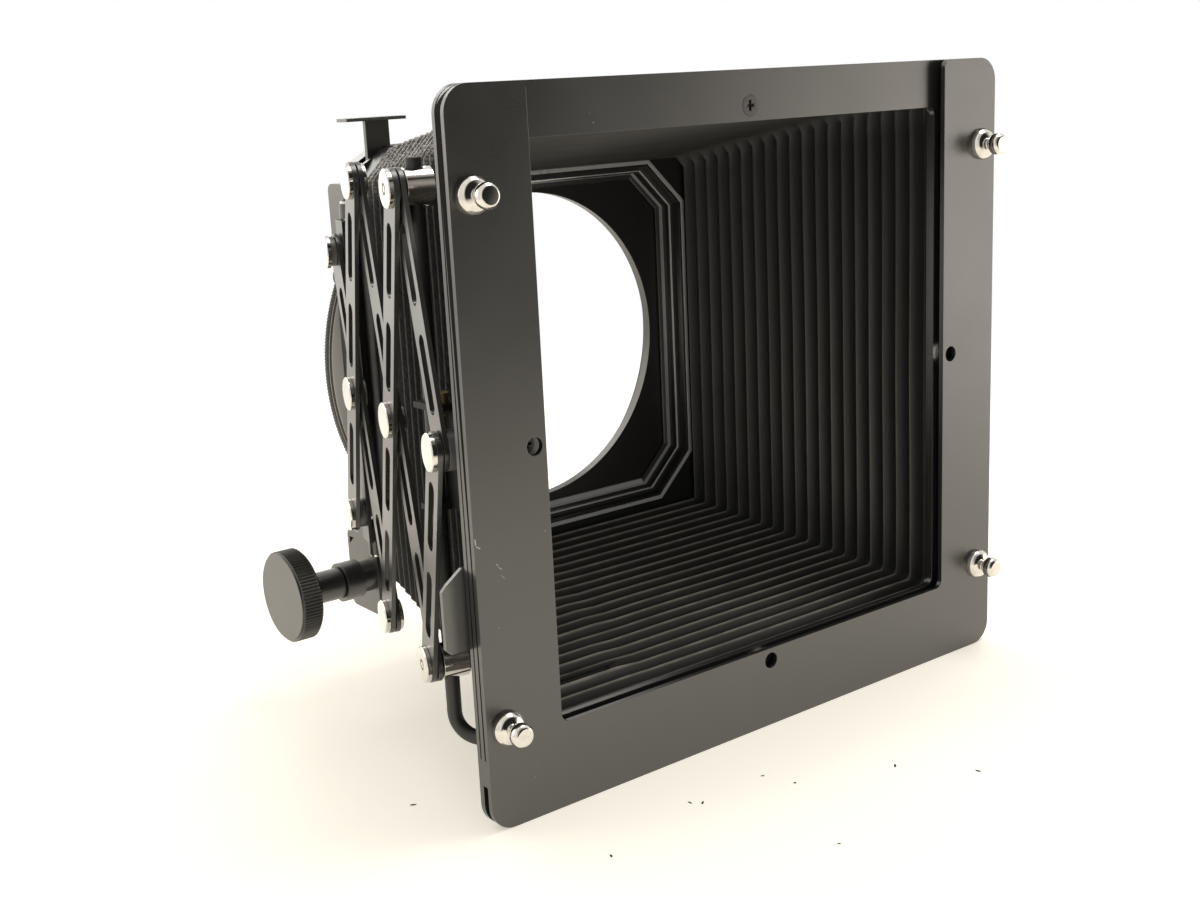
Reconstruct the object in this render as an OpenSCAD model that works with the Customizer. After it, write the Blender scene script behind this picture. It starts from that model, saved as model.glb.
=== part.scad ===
// Bellows lens hood: a square front frame and a round lens mount, joined by a tapered bellows
// and by slotted lazy tongs that slide on a guide rod. +Y points to the camera, +Z is up, and
// the origin is the centre of the mount ring's rear mouth.

/* [Front frame] */
// Width of the front plates
plate_w = 158; // [150:1:175]
// Height of the front plates
plate_h = 150; // [146:1:165]
// Corner radius of the front plates
plate_corner_r = 5.5; // [3:0.5:8]
// Thickness of the U plate
u_plate_t = 1.2; // [0.8:0.1:2]
// Width of the slot that takes a mask
mask_slot = 1.6; // [1:0.1:2.5]
// Thickness of the frame plate
frame_t = 1.4; // [1:0.1:2]
// Width of each leg of the U plate
leg_w = 18.65; // [16:0.05:20]
// Height of the bottom bar of the U plate
bar_h = 19; // [17:0.5:22]
// Radius at the corners of the U plate's mouth
mouth_corner_r = 2; // [1:0.5:4]
// Width of the frame plate beside its opening
frame_side_w = 19.1; // [18.7:0.1:23]
// Height of the frame plate over its opening
frame_top_h = 10.9; // [9:0.1:13]
// Height of the frame plate under its opening
frame_bottom_h = 19.3; // [18:0.1:22]
// How far the centre of the plates lies under the lens axis
front_drop = 4.9; // [3:0.1:7]
// Width of the side spacers
spacer_w = 12; // [9:0.5:13]
// Height of the bottom spacer
bottom_spacer_h = 11.9; // [8:0.1:13]

/* [Mask studs] */
// Distance of the studs from the side edges
stud_inset = 5; // [4.5:0.1:8]
// Distance of the upper studs from the top edge
stud_from_top = 20.4; // [12:0.1:30]
// Distance of the lower studs from the bottom edge
stud_from_bottom = 22.2; // [14:0.1:30]
// Diameter of a stud's base
stud_base_d = 7.5; // [5:0.1:9]
// Height of a stud over the plate
stud_h = 6.5; // [4:0.1:9]
// Diameter of a stud's head
stud_head_d = 4.8; // [4:0.1:6]
// Diameter of a stud's neck and shank
stud_neck_d = 3; // [2:0.1:3.5]

/* [Bellows] */
// Length of the bellows between its clamps
bellows_l = 78.4; // [70:0.1:90]
// How far the bellows' ridges stand outside the opening's sides at the front
bellows_front_over = 6.1; // [5.6:0.1:6.3]
// How far the bellows' ridges stand over the opening's top and bottom, on average
bellows_front_rise = 7.2; // [6:0.1:7.6]
// How far the bellows' ridges stay inside the rear standard's sides
bellows_rear_in = 1.3; // [0.6:0.1:2]
// How far the bellows' ridges stay inside the rear standard's top
bellows_rear_drop = 0.3; // [0.3:0.1:3]
// Number of pleats
pleats = 20; // [12:1:26]
// Depth of a pleat
pleat_depth = 3.6; // [2.5:0.1:4]
// Corner cut of the bellows at the front
bellows_front_cut = 6; // [3:0.5:9]
// Corner cut of the bellows at the rear
bellows_rear_cut = 8.5; // [6:0.5:12]

/* [Rear standard] */
// Width of the rear standard beside the ring's hub
rear_side_w = 3.8; // [3.5:0.1:4.5]
// Height of the rear standard over the ring's hub
rear_top_h = 7.6; // [6:0.1:10]
// Thickness of the rear wall
wall_t = 4.2; // [3.6:0.1:6]
// Thickness of the guide rail round the filter holder
rail_t = 3.2; // [2.6:0.1:5]
// Thickness of the rear standard's front board
board_t = 1.2; // [1:0.1:2]
// Thickness of the collar behind the bellows
collar_t = 3; // [2:0.1:4]
// Thickness of the rear bellows clamp
rear_clamp_t = 2; // [1.2:0.1:3]
// Thickness of the front bellows clamp
front_clamp_t = 1.4; // [1:0.1:2]
// How much smaller the filter holder's window is than the lens bore, in radius
window_in = 5.7; // [4:0.1:9]

/* [Mount ring] */
// Radius of the lens bore
ring_bore_r = 47; // [44:0.1:47.2]
// Width of the knurled flange round the bore
ring_w = 10.1; // [9:0.1:12]
// Thickness of the knurled flange
ring_t = 2.7; // [2:0.1:4]

/* [Lazy tongs] */
// Distance of the swivel pins from the rear standard's side
swivel_off = 1.33; // [1.2:0.01:2]
// Distance of the guide rod from the plates' left edge
rod_inset = 8.87; // [8:0.01:9]
// Distance of the front pivot behind the frame plate
pivot_stand = 6.19; // [5:0.01:8]
// Diameter of the guide rod
rod_d = 3.3; // [3:0.1:3.5]
// Length of an arm from its middle pivot to its end pivot
arm_reach = 53.73; // [50:0.01:56]
// Short end of the rear arms, as a share of the reach
tail_share = 0.647; // [0.6:0.001:0.7]
// Width of an arm
arm_w = 8.3; // [7:0.1:8.6]
// Thickness of an arm
arm_t = 1; // [0.8:0.05:1.2]
// Width of the slots in an arm
arm_slot_w = 3.7; // [2:0.1:4]
// Diameter of the rivet heads
rivet_head_d = 8; // [7:0.1:8.4]
// Diameter of the rivet shanks
rivet_d = 3.2; // [2.6:0.1:3.4]

/* [Knob] */
// Diameter of the knob
knob_d = 23; // [18:0.5:26]
// Thickness of the knob
knob_t = 5.7; // [4:0.1:8]
// Number of teeth round the knob
knob_teeth = 84; // [40:1:96]
// Distance of the knob's face from the rear standard's side
knob_reach = 25.7; // [22:0.1:32]

/* [Hidden] */
$fn = 64;
// Radial clearance of running fits
fit = 0.05;
// Clearance between pieces that pass each other
gap = 0.3;
// Overrun of every cut
over = 1;

// Colours
satin_black = "#34322f";
deep_black = "#1c1b1a";
leather_black = "#262422";
bright_chrome = "#d9d9d9";
brass_yellow = "#b8975a";

// Stations along the axis, from the ring's rear mouth to the front
ring_gap = 0.2;
ring_r = ring_bore_r + ring_w;
y_wall_back = -ring_t - ring_gap;
y_wall_front = y_wall_back - wall_t;
y_rail_front = y_wall_front - rail_t;
y_board_front = y_rail_front - board_t;
y_collar_front = y_board_front - collar_t;
y_bellows_rear = y_collar_front - rear_clamp_t;
y_bellows_front = y_bellows_rear - bellows_l;
y_frame_back = y_bellows_front - front_clamp_t;
y_frame_front = y_frame_back - frame_t;
y_u_back = y_frame_front - mask_slot;
y_u_front = y_u_back - u_plate_t;

// Heights
plate_z = -front_drop;
plate_top = plate_z + plate_h / 2;
plate_bottom = plate_z - plate_h / 2;
opening_w = plate_w - 2 * frame_side_w;
opening_h = plate_h - frame_top_h - frame_bottom_h;
opening_z = plate_z + (frame_bottom_h - frame_top_h) / 2;
mouth_w = plate_w - 2 * leg_w;

// Clamp and screws round the front opening
clamp_w = 6.2;
clamp_lip = 0.7;
clamp_over = 0.3;
clamp_corner_r = 5;
clamp_screw_off = 3.3;
screw_d = 2.4;
screw_head_d = 4.6;
screw_head_h = 1.1;
access_d = 3.8;
recess_w = 0.7;
recess_depth = 0.7;

// Mask studs
stud_base_h = 2;
stud_chamfer = 0.6;
stud_x = plate_w / 2 - stud_inset;
stud_peen_d = 5;
stud_peen_h = 0.6;

// Side spacers stop above the bottom edge
spacer_cut = 10;
bottom_spacer_inset = 19;

// Ring hub and the rear standard round it
hub_wall = 1.5;
hub_r = ring_bore_r + hub_wall;
rear_w = 2 * (hub_r + rear_side_w);
rear_h = 2 * (hub_r + rear_top_h);

// Bellows
bellows_front_half_w = opening_w / 2 + bellows_front_over;
bellows_front_half_h = opening_h / 2 + bellows_front_rise;
front_clamp_half_h = bellows_front_half_h + clamp_over;
bellows_rear_half_w = rear_w / 2 - bellows_rear_in;
bellows_rear_half_h = rear_h / 2 - bellows_rear_drop;
soft_gap = 0.1;
bellows_skin = 1.2;
bellows_sides = 8;

// Outline of the rear standard, as shares of its half width and half height
rear_side_share = 0.75;
rear_shoulder_w_share = 0.906;
rear_shoulder_h_share = 0.927;
rear_top_w_share = 0.765;

// Octagonal window of the clamp, collar and board behind the bellows
rear_window_in = 4.1;
rear_window_drop = 9.7;
rear_window_cut = 11;
rear_window_half_w = rear_w / 2 - rear_window_in;
rear_window_half_h = rear_h / 2 - rear_window_drop;
collar_inset = 0.2;

// Filter holder and its channel
channel_wall = 4;
channel_half = rear_w / 2 - channel_wall;
channel_rise = 7.8;
channel_bottom = -rear_h / 2 + channel_rise;
holder_drop = 6.1;
holder_top = rear_h / 2 - holder_drop;
window_r = ring_bore_r - window_in;
holder_corner_r = 3;
holder_t = rail_t - 2 * gap;
strap_w = 6.5;
strap_inset = 6.55;
strap_x = strap_inset - channel_half;
strap_t = 1.2;
strap_h = 12.3;
tab_w = 16.4;
tab_shift = 1.05;
tab_x = strap_x - tab_shift;
tab_depth = 5;
tab_t = 0.8;

// Mount ring hub and its snap ring
hub_gap = 0.05;
snap_t = 0.8;
snap_w = 2.4;
snap_groove = 0.6;
snap_lip = 0.55;
snap_pocket_gap = 0.3;
y_hub_front = y_wall_front + hub_gap;
y_snap_front = y_hub_front + snap_lip;
ring_chamfer = 0.4;

// Rear screws
rear_screw_in = 2.5;
rear_screw_drop = 22.1;
rear_screw_x = rear_w / 2 - rear_screw_in;
rear_screw_z = rear_h / 2 - rear_screw_drop;
rear_screw_d = 2;
rear_screw_head_d = 3.8;
rear_screw_head_h = 0.9;
rear_screw_l = wall_t + rail_t + board_t + collar_t / 2;

// Lazy tongs: the row runs from the swivel pins to the guide rod
swivel_stand = 1.52;
swivel_out = rear_w / 2 + swivel_off;
rod_out = plate_w / 2 - rod_inset;
swivel_y = y_board_front - swivel_stand;
row_x = rod_out - swivel_out;
row_y = (swivel_y - y_frame_back - pivot_stand) * (tail_share + 3) / (tail_share + 4);
rod_y = swivel_y - row_y;
rod_stand = rod_y - y_frame_back;
row_l = norm([row_x, row_y]);
row_angle = atan2(row_x, row_y);
step = row_l / (tail_share + 3);
arm_angle = asin(step / arm_reach);
arm_rise = arm_reach * cos(arm_angle);
tail_reach = arm_reach * tail_share;
tail_rise = arm_rise * tail_share;
rear_pivot_at = step * tail_share;
rivets_at = rear_pivot_at + step;
middle_pivot_at = rivets_at + step;
slides_at = middle_pivot_at + step;
front_pivot_at = slides_at + step;

// Layers of the tongs, measured outward from the plane of the swivel pins and the rod
inner_arm_v = 2.9;
washer_t = 0.3;
play = 0.05;
outer_arm_v = inner_arm_v + arm_t + washer_t + 2 * play;
head_v = outer_arm_v + arm_t + play;
head_t = 1.15;
inner_head_t = 0.85;
head_chamfer = 0.25;
loose_hole_d = rivet_d + 0.9;
washer_d = 7;
arm_slot_shares = [[0.135, 0.44], [0.55, 0.86]];
tail_slot_shares = [[0.24, 0.74]];

// Slide posts and their cross bores for the rod
post_d = 8;
post_in_v = -3.5;
post_out_v = inner_arm_v - 0.2;
post_bore_w = rod_d + 0.8;
post_bore_l = rod_d + 1.7;
dimple_d = 2.6;
dimple_depth = 0.4;

// Front pivot post, its boss and the bracket that guides it
front_post_d = 3;
boss_d = 8.4;
boss_in_v = 0.6;
bracket_off = 7.3;
bracket_in = opening_w / 2 + bracket_off;
bracket_t = 1;
bracket_back = 2.5;
bracket_bottom_drop = 16.6;
bracket_top_rise = 6.8;
bracket_slot_h = front_post_d + 2 * gap;
bracket_slot_front = 1.5;
bracket_slot_l = 12.2;
bracket_foot_w = 9.8;
bracket_foot_t = 1.2;
bracket_foot_h = 9.5;
bracket_toe_h = 1.9;
tab_thick = 1.3;
rod_tab_over = 2.87;
rod_tab_out = rod_out + rod_tab_over;
upper_tab_l = 8.5;
lower_tab_l = 5;
brass_screw_back = 3.48;
brass_head_d = 3.6;
brass_head_h = 2.2;
brass_shank_d = 2;
brass_tail = 1.5;
brass_slot_w = 0.6;

// Guide rod, from the slide posts at the ends of the arms
rod_over = 5.9;
rod_clear = 0.25;
rod_top = opening_z + arm_rise + rod_over;
rod_foot_z = -front_clamp_half_h - rod_clear - rod_d / 2;
rod_bend_r = 5.5;
rod_turn = 30;

// Side clip on the front frame
clip_t = 1;
clip_stand = 0.8;
clip_proud = 5;
clip_under = 8;
clip_drop = 22.8;
clip_slant = 4;
clip_h = 17.4;
clip_out = plate_w / 2 + clip_proud;
clip_in = plate_w / 2 - clip_under;
clip_top = opening_z - clip_drop;
clip_shoulder = clip_top - clip_slant;
clip_bottom = clip_top - clip_h;
clip_chamfer = 1.2;
clip_pad_d = 6;

// Swivel guide, pins and side plate
guide_v = 1.4;
guide_t = 1;
guide_front = 4;
guide_rear = 2.8;
guide_over = 7.3;
knuckle_r = 1.8;
knuckle_h = 3.5;
pin_d = 1.8;
pin_head_d = 3;
pin_head_h = 0.6;
guide_slot_w = rivet_d + 2 * gap;
guide_slot_l = rivet_d + 10 * gap;
guide_head_d = 4.8;
rear_travel = 4.3;
guide_head_t = 0.75;
side_plate_t = 1.2;
side_front = 9.5;
side_back = 4;
ear_front = 13.5;
top_ear_h = 8;
bottom_ear_front = 12.5;
bottom_ear_back = -2.3;
bottom_ear_under = 10.04;
ear_corner_r = 2;
side_screw_d = 2;
side_screw_head_d = 3.6;
side_screw_head_h = 0.8;
side_screw_l = 5;
side_screw_y = -5.9;
side_screw_z = 25;

// Knob
knob_y = -7.7;
knob_rise = 4.2;
knob_z = knob_rise - rear_h / 2;
knob_out = rear_w / 2 + knob_reach;
knob_tooth = 0.35;
knob_rim = 0.5;
knob_rim_drop = 0.7;
stem_d = 8;
bush_reach = 9.7;
bush_out = rear_w / 2 + bush_reach;
bush_d = 10;
bush_head_l = 5;
bush_neck_d = 8;
bush_spigot_d = 6;
bush_spigot_l = 0.5;
shaft_d = 4;
nut_d = 6.4;
nut_t = 1.7;
shaft_socket = 4.5;

// Outlines
module rounded_rect(w, h, r) {
    square([w - 2 * r, h], center = true);
    square([w, h - 2 * r], center = true);
    for (sx = [-1, 1], sz = [-1, 1])
        translate([sx * (w / 2 - r), sz * (h / 2 - r)]) circle(r);
}

// A rounded rectangle given by its corners, for plates drawn as y and z
module rounded_span(low, high, r) {
    translate((low + high) / 2) rounded_rect(high[0] - low[0], high[1] - low[1], r);
}

module octagon(half_w, half_h, cut_w, cut_h) {
    polygon([
        [half_w, cut_h - half_h], [half_w, half_h - cut_h], [half_w - cut_w, half_h],
        [cut_w - half_w, half_h], [-half_w, half_h - cut_h], [-half_w, cut_h - half_h],
        [cut_w - half_w, -half_h], [half_w - cut_w, -half_h]
    ]);
}

module rear_outline() {
    w = rear_w / 2;
    h = rear_h / 2;
    quarter = [
        [w, rear_side_share * h], [rear_shoulder_w_share * w, rear_shoulder_h_share * h],
        [rear_top_w_share * w, h]
    ];
    top = concat(quarter, [for (i = [2:-1:0]) [-quarter[i][0], quarter[i][1]]]);
    polygon(concat(top, [for (i = [5:-1:0]) [top[i][0], -top[i][1]]]));
}

module rear_window() {
    translate([0, opening_z])
        octagon(rear_window_half_w, rear_window_half_h, rear_window_cut, rear_window_cut);
}

// Plates that stand across the axis: y0 is the front face
module upright(y0, t) {
    translate([0, y0 + t, 0]) rotate([90, 0, 0]) linear_extrude(t) children();
}

// Plates that stand along the axis: x0 is the left face, and the outline is in y and z
module sidewise(x0, t) {
    translate([x0, 0, 0]) rotate([90, 0, 90]) linear_extrude(t) children();
}

// Turns a shape drawn along z so that it points to the rear
module pointing_back(x, y, z) {
    translate([x, y, z]) rotate([-90, 0, 0]) children();
}

// Turns a shape drawn along z so that it points to the left
module pointing_left(x, y, z) {
    translate([x, y, z]) rotate([0, -90, 0]) children();
}

module tube(l, d_out, d_in) {
    difference() {
        cylinder(h = l, d = d_out);
        translate([0, 0, -over]) cylinder(h = l + 2 * over, d = d_in);
    }
}

// A countersunk screw drawn along z, its head's face at zero
module flat_screw(l, d, head_d, head_h) {
    difference() {
        rotate_extrude()
            polygon([[0, 0], [head_d / 2, 0], [d / 2, head_h], [d / 2, l], [0, l]]);
        for (turn = [0, 90])
            rotate([0, 0, turn])
                translate([-head_d / 4, -recess_w / 2, -over])
                    cube([head_d / 2, recess_w, over + recess_depth * head_h]);
    }
}

// The hole for such a screw
module flat_screw_hole(l, d, head_d, head_h) {
    translate([0, 0, -over]) cylinder(h = l + 2 * over, d = d + 2 * fit);
    rotate_extrude()
        polygon([
            [0, -over], [head_d / 2 + fit, -over], [head_d / 2 + fit, 0],
            [d / 2 + fit, head_h], [0, head_h]
        ]);
}

// Places round the front opening
clamp_screw_x = opening_w / 2 + clamp_screw_off;
clamp_screw_z = opening_h / 2 + clamp_screw_off;
clamp_screw_places = [
    [clamp_screw_x, opening_z], [-clamp_screw_x, opening_z],
    [0, opening_z + clamp_screw_z], [0, opening_z - clamp_screw_z]
];
stud_places = [
    for (sx = [-1, 1], z = [plate_top - stud_from_top, plate_bottom + stud_from_bottom])
        [sx * stud_x, z]
];

module stud_holes(y0, t) {
    for (p = stud_places)
        pointing_back(p[0], y0 - over, p[1]) cylinder(h = t + 2 * over, d = stud_neck_d + 2 * fit);
}

// Front standard
module front_u_plate() {
    mouth_bottom = plate_bottom + bar_h;
    mouth_h = plate_h - bar_h + 2 * mouth_corner_r + over;
    color(satin_black) difference() {
        upright(y_u_front, u_plate_t) difference() {
            translate([0, plate_z]) rounded_rect(plate_w, plate_h, plate_corner_r);
            translate([0, mouth_bottom + mouth_h / 2])
                rounded_rect(mouth_w, mouth_h, mouth_corner_r);
            for (side = [0, 1])
                mirror([side, 0]) translate([mouth_w / 2, plate_top]) difference() {
                    translate([-over, -mouth_corner_r])
                        square(mouth_corner_r + over);
                    translate([mouth_corner_r, -mouth_corner_r]) circle(mouth_corner_r);
                }
        }
        stud_holes(y_u_front, u_plate_t);
        for (p = clamp_screw_places)
            if (p[1] < opening_z + over)
                pointing_back(p[0], y_u_front - over, p[1])
                    cylinder(h = u_plate_t + 2 * over, d = access_d);
    }
}

module side_spacer(side) {
    left = side < 0;
    low = plate_bottom + spacer_cut;
    color(satin_black) difference() {
        upright(y_u_back, mask_slot) intersection() {
            translate([0, plate_z]) rounded_rect(plate_w, plate_h, plate_corner_r);
            translate([left ? -plate_w / 2 : plate_w / 2 - spacer_w, low])
                square([spacer_w, plate_h]);
        }
        stud_holes(y_u_back, mask_slot);
    }
}

module left_spacer() {
    side_spacer(-1);
}

module right_spacer() {
    side_spacer(1);
}

module bottom_spacer() {
    w = plate_w - 2 * bottom_spacer_inset;
    color(satin_black) upright(y_u_back, mask_slot)
        translate([-w / 2, plate_bottom]) square([w, bottom_spacer_h]);
}

module front_frame_plate() {
    color(satin_black) difference() {
        upright(y_frame_front, frame_t) difference() {
            translate([0, plate_z]) rounded_rect(plate_w, plate_h, plate_corner_r);
            translate([0, opening_z]) rounded_rect(opening_w, opening_h, mouth_corner_r);
        }
        stud_holes(y_frame_front, frame_t);
        for (p = clamp_screw_places)
            pointing_back(p[0], y_frame_front, p[1])
                flat_screw_hole(frame_t, screw_d, screw_head_d, screw_head_h);
    }
}

module front_clamp() {
    out = 2 * (clamp_lip + clamp_w);
    color(deep_black) difference() {
        upright(y_frame_back, front_clamp_t) difference() {
            rounded_rect(opening_w + out, 2 * front_clamp_half_h, clamp_corner_r);
            translate([0, opening_z])
                rounded_rect(opening_w + 2 * clamp_lip, opening_h + 2 * clamp_lip,
                    mouth_corner_r);
        }
        for (p = clamp_screw_places)
            pointing_back(p[0], y_frame_back - over, p[1])
                cylinder(h = front_clamp_t + 2 * over, d = screw_d + 2 * fit);
    }
}

module front_clamp_screws() {
    color(deep_black) for (p = clamp_screw_places)
        pointing_back(p[0], y_frame_front, p[1])
            flat_screw(frame_t + front_clamp_t, screw_d, screw_head_d, screw_head_h);
}

module mask_studs() {
    stack = u_plate_t + mask_slot + frame_t;
    base_r = stud_base_d / 2;
    neck_r = stud_neck_d / 2;
    head_r = stud_head_d / 2;
    head_h = stud_head_d / 2;
    color(bright_chrome) for (p = stud_places)
        pointing_back(p[0], y_u_front, p[1]) rotate_extrude()
            polygon([
                [0, -stud_h], [head_r - stud_chamfer, -stud_h], [head_r, stud_chamfer - stud_h],
                [head_r, head_h - stud_chamfer - stud_h], [neck_r, head_h - stud_h],
                [neck_r, -stud_base_h], [base_r - stud_chamfer, -stud_base_h],
                [base_r, stud_chamfer - stud_base_h], [base_r, 0], [neck_r, 0],
                [neck_r, stack], [stud_peen_d / 2, stack],
                [stud_peen_d / 2 - stud_chamfer / 2, stack + stud_peen_h],
                [0, stack + stud_peen_h]
            ]);
}

// The rod runs down, bends and goes forward and inward to the frame plate
module guide_rod() {
    straight_bottom = rod_foot_z + rod_bend_r;
    color(deep_black) difference() {
        translate([-rod_out, rod_y, 0]) {
            translate([0, 0, straight_bottom]) cylinder(h = rod_top - straight_bottom, d = rod_d);
            rotate([0, 0, rod_turn]) translate([0, -rod_bend_r, straight_bottom]) {
                rotate([0, 90, 0]) rotate_extrude(angle = 90)
                    translate([rod_bend_r, 0]) circle(d = rod_d);
                translate([0, 0, -rod_bend_r]) rotate([90, 0, 0])
                    cylinder(h = rod_stand + rod_d, d = rod_d);
            }
        }
        translate([-plate_w, y_frame_back - 2 * rod_stand, rod_foot_z - rod_d])
            cube([2 * plate_w, 2 * rod_stand, 2 * rod_d]);
    }
}

module rod_tab(z, l) {
    translate([-rod_tab_out, rod_y + bracket_back - l, z]) difference() {
        cube([rod_tab_out - bracket_in, l, tab_thick]);
        translate([rod_tab_out - rod_out, l - bracket_back, -over])
            cylinder(h = tab_thick + 2 * over, d = rod_d + 2 * fit);
    }
}

module pivot_bracket() {
    low = opening_z - bracket_bottom_drop;
    high = opening_z + bracket_top_rise;
    slot_low = opening_z - bracket_slot_h / 2;
    slot_front = y_frame_back + bracket_slot_front;
    brass_y = rod_y - brass_screw_back;
    color(deep_black) difference() {
        union() {
            sidewise(-bracket_in - bracket_t, bracket_t) difference() {
                translate([y_frame_back, low])
                    square([rod_stand + bracket_back, high - low]);
                translate([slot_front, slot_low]) square([bracket_slot_l, bracket_slot_h]);
            }
            rod_tab(high - tab_thick, upper_tab_l);
            rod_tab(low, lower_tab_l);
            translate([-bracket_in - bracket_foot_w, y_frame_back, low])
                cube([bracket_foot_w, bracket_foot_t, bracket_foot_h]);
            translate([-bracket_in - bracket_foot_w, y_frame_back, high - bracket_toe_h])
                cube([bracket_foot_w, bracket_foot_t, bracket_toe_h]);
        }
        translate([-rod_out, brass_y, high - tab_thick - over])
            cylinder(h = tab_thick + 2 * over, d = brass_shank_d + 2 * fit);
    }
}

module bracket_screw() {
    seat = opening_z + bracket_top_rise;
    color(brass_yellow) translate([-rod_out, rod_y - brass_screw_back, seat]) difference() {
        union() {
            cylinder(h = brass_head_h, d = brass_head_d);
            translate([0, 0, -tab_thick - brass_tail])
                cylinder(h = tab_thick + brass_tail + brass_head_h / 2, d = brass_shank_d);
        }
        translate([-brass_head_d, -brass_slot_w / 2, brass_head_h / 2])
            cube([2 * brass_head_d, brass_slot_w, brass_head_h]);
    }
}

module side_clip() {
    pad_x = (clip_in + plate_w / 2) / 2;
    color(satin_black) {
        upright(y_frame_back + clip_stand, clip_t) polygon([
            [-clip_in, clip_bottom], [-clip_in, clip_top],
            [-plate_w / 2, clip_top], [-clip_out + clip_chamfer, clip_shoulder + clip_chamfer],
            [-clip_out, clip_shoulder], [-clip_out, clip_bottom + clip_chamfer],
            [-clip_out + clip_chamfer, clip_bottom]
        ]);
        pointing_back(-pad_x, y_frame_back, (clip_top + clip_bottom) / 2)
            cylinder(h = clip_stand + clip_t / 2, d = clip_pad_d);
    }
}

// Bellows: rings of eight points, alternately on a ridge and in a valley, in two skins
bellows_rings = 2 * pleats;
function between(a, b, share) = a + (b - a) * share;
function octagon_points(w, h, c, y) = [
    [w, y, c - h], [w, y, h - c], [w - c, y, h], [c - w, y, h],
    [-w, y, h - c], [-w, y, c - h], [c - w, y, -h], [w - c, y, -h]
];
function bellows_ring(i, inset) =
    let (
        share = i / bellows_rings,
        drop = inset + (i % 2) * pleat_depth,
        w = between(bellows_front_half_w, bellows_rear_half_w, share) - drop,
        h = between(bellows_front_half_h, bellows_rear_half_h, share) - drop,
        c = between(bellows_front_cut, bellows_rear_cut, share),
        y = between(y_bellows_front + soft_gap, y_bellows_rear - soft_gap, share)
    )
    octagon_points(w, h, c, y);
function out_at(i, j) = bellows_sides * i + j % bellows_sides;
function in_at(i, j) = out_at(bellows_rings + 1 + i, j);

module bellows() {
    n = bellows_rings;
    points = [for (inset = [0, bellows_skin], i = [0:n]) each bellows_ring(i, inset)];
    sides = [0:bellows_sides - 1];
    outside = [for (i = [0:n - 1], j = sides) each [
        [out_at(i, j), out_at(i, j + 1), out_at(i + 1, j + 1)],
        [out_at(i, j), out_at(i + 1, j + 1), out_at(i + 1, j)]
    ]];
    inside = [for (i = [0:n - 1], j = sides) each [
        [in_at(i, j), in_at(i + 1, j + 1), in_at(i, j + 1)],
        [in_at(i, j), in_at(i + 1, j), in_at(i + 1, j + 1)]
    ]];
    front_end = [for (j = sides) each [
        [out_at(0, j), in_at(0, j), in_at(0, j + 1)],
        [out_at(0, j), in_at(0, j + 1), out_at(0, j + 1)]
    ]];
    rear_end = [for (j = sides) each [
        [out_at(n, j), in_at(n, j + 1), in_at(n, j)],
        [out_at(n, j), out_at(n, j + 1), in_at(n, j + 1)]
    ]];
    color(leather_black)
        polyhedron(points, concat(outside, inside, front_end, rear_end));
}

// Places a shape in the row: x is inward, y to the rear along the row, z up from the row
module in_row(at) {
    translate([-swivel_out, swivel_y, opening_z]) rotate([0, 0, -row_angle])
        translate([0, -at, 0]) children();
}

// Turns a shape drawn along z outward, starting at layer v
module outward(v) {
    translate([-v, 0, 0]) rotate([0, -90, 0]) children();
}

// Slots of one half of an arm, drawn upward from its middle pivot
module arm_slots(reach, shares) {
    for (s = shares) {
        low = s[0] * reach + arm_slot_w / 2;
        high = s[1] * reach - arm_slot_w / 2;
        translate([-arm_slot_w / 2, low]) square([arm_slot_w, high - low]);
        translate([0, low]) circle(d = arm_slot_w);
        translate([0, high]) circle(d = arm_slot_w);
    }
}

// One arm: lengths and hole sizes above and below its middle pivot
module arm(at, lean, v, up, down, hole_up, hole_down) {
    color(satin_black) in_row(at) rotate([lean * arm_angle, 0, 0])
        translate([-v - arm_t, 0, 0]) rotate([90, 0, 90]) linear_extrude(arm_t)
            difference() {
                union() {
                    translate([-arm_w / 2, -down]) square([arm_w, up + down]);
                    translate([0, up]) circle(d = arm_w);
                    translate([0, -down]) circle(d = arm_w);
                }
                circle(d = rivet_d + 2 * fit);
                if (up > 0) {
                    translate([0, up]) circle(d = hole_up);
                    arm_slots(up, up < arm_reach ? tail_slot_shares : arm_slot_shares);
                }
                if (down > 0) {
                    translate([0, -down]) circle(d = hole_down);
                    rotate(180)
                        arm_slots(down, down < arm_reach ? tail_slot_shares : arm_slot_shares);
                }
            }
}

tight_hole_d = rivet_d + 2 * fit;

module rear_inner_arm() {
    arm(rear_pivot_at, -1, inner_arm_v, tail_reach, arm_reach, tight_hole_d, loose_hole_d);
}

module rear_outer_arm() {
    arm(rear_pivot_at, 1, outer_arm_v, arm_reach, tail_reach, tight_hole_d, tight_hole_d);
}

module middle_inner_arm() {
    arm(middle_pivot_at, -1, inner_arm_v, arm_reach, arm_reach, loose_hole_d, tight_hole_d);
}

module middle_outer_arm() {
    arm(middle_pivot_at, 1, outer_arm_v, arm_reach, arm_reach, tight_hole_d, tight_hole_d);
}

module front_inner_arm() {
    arm(front_pivot_at, -1, inner_arm_v, arm_reach, 0, loose_hole_d, 0);
}

module front_outer_arm() {
    arm(front_pivot_at, 1, outer_arm_v, 0, arm_reach, 0, loose_hole_d);
}

// Outline of a head and shank from the layer v0 outward, for a revolve
function head_points(v0) = [
    [rivet_d / 2, head_v - v0], [rivet_head_d / 2, head_v - v0],
    [rivet_head_d / 2, head_v + head_t - head_chamfer - v0],
    [rivet_head_d / 2 - head_chamfer, head_v + head_t - v0], [0, head_v + head_t - v0]
];

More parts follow.
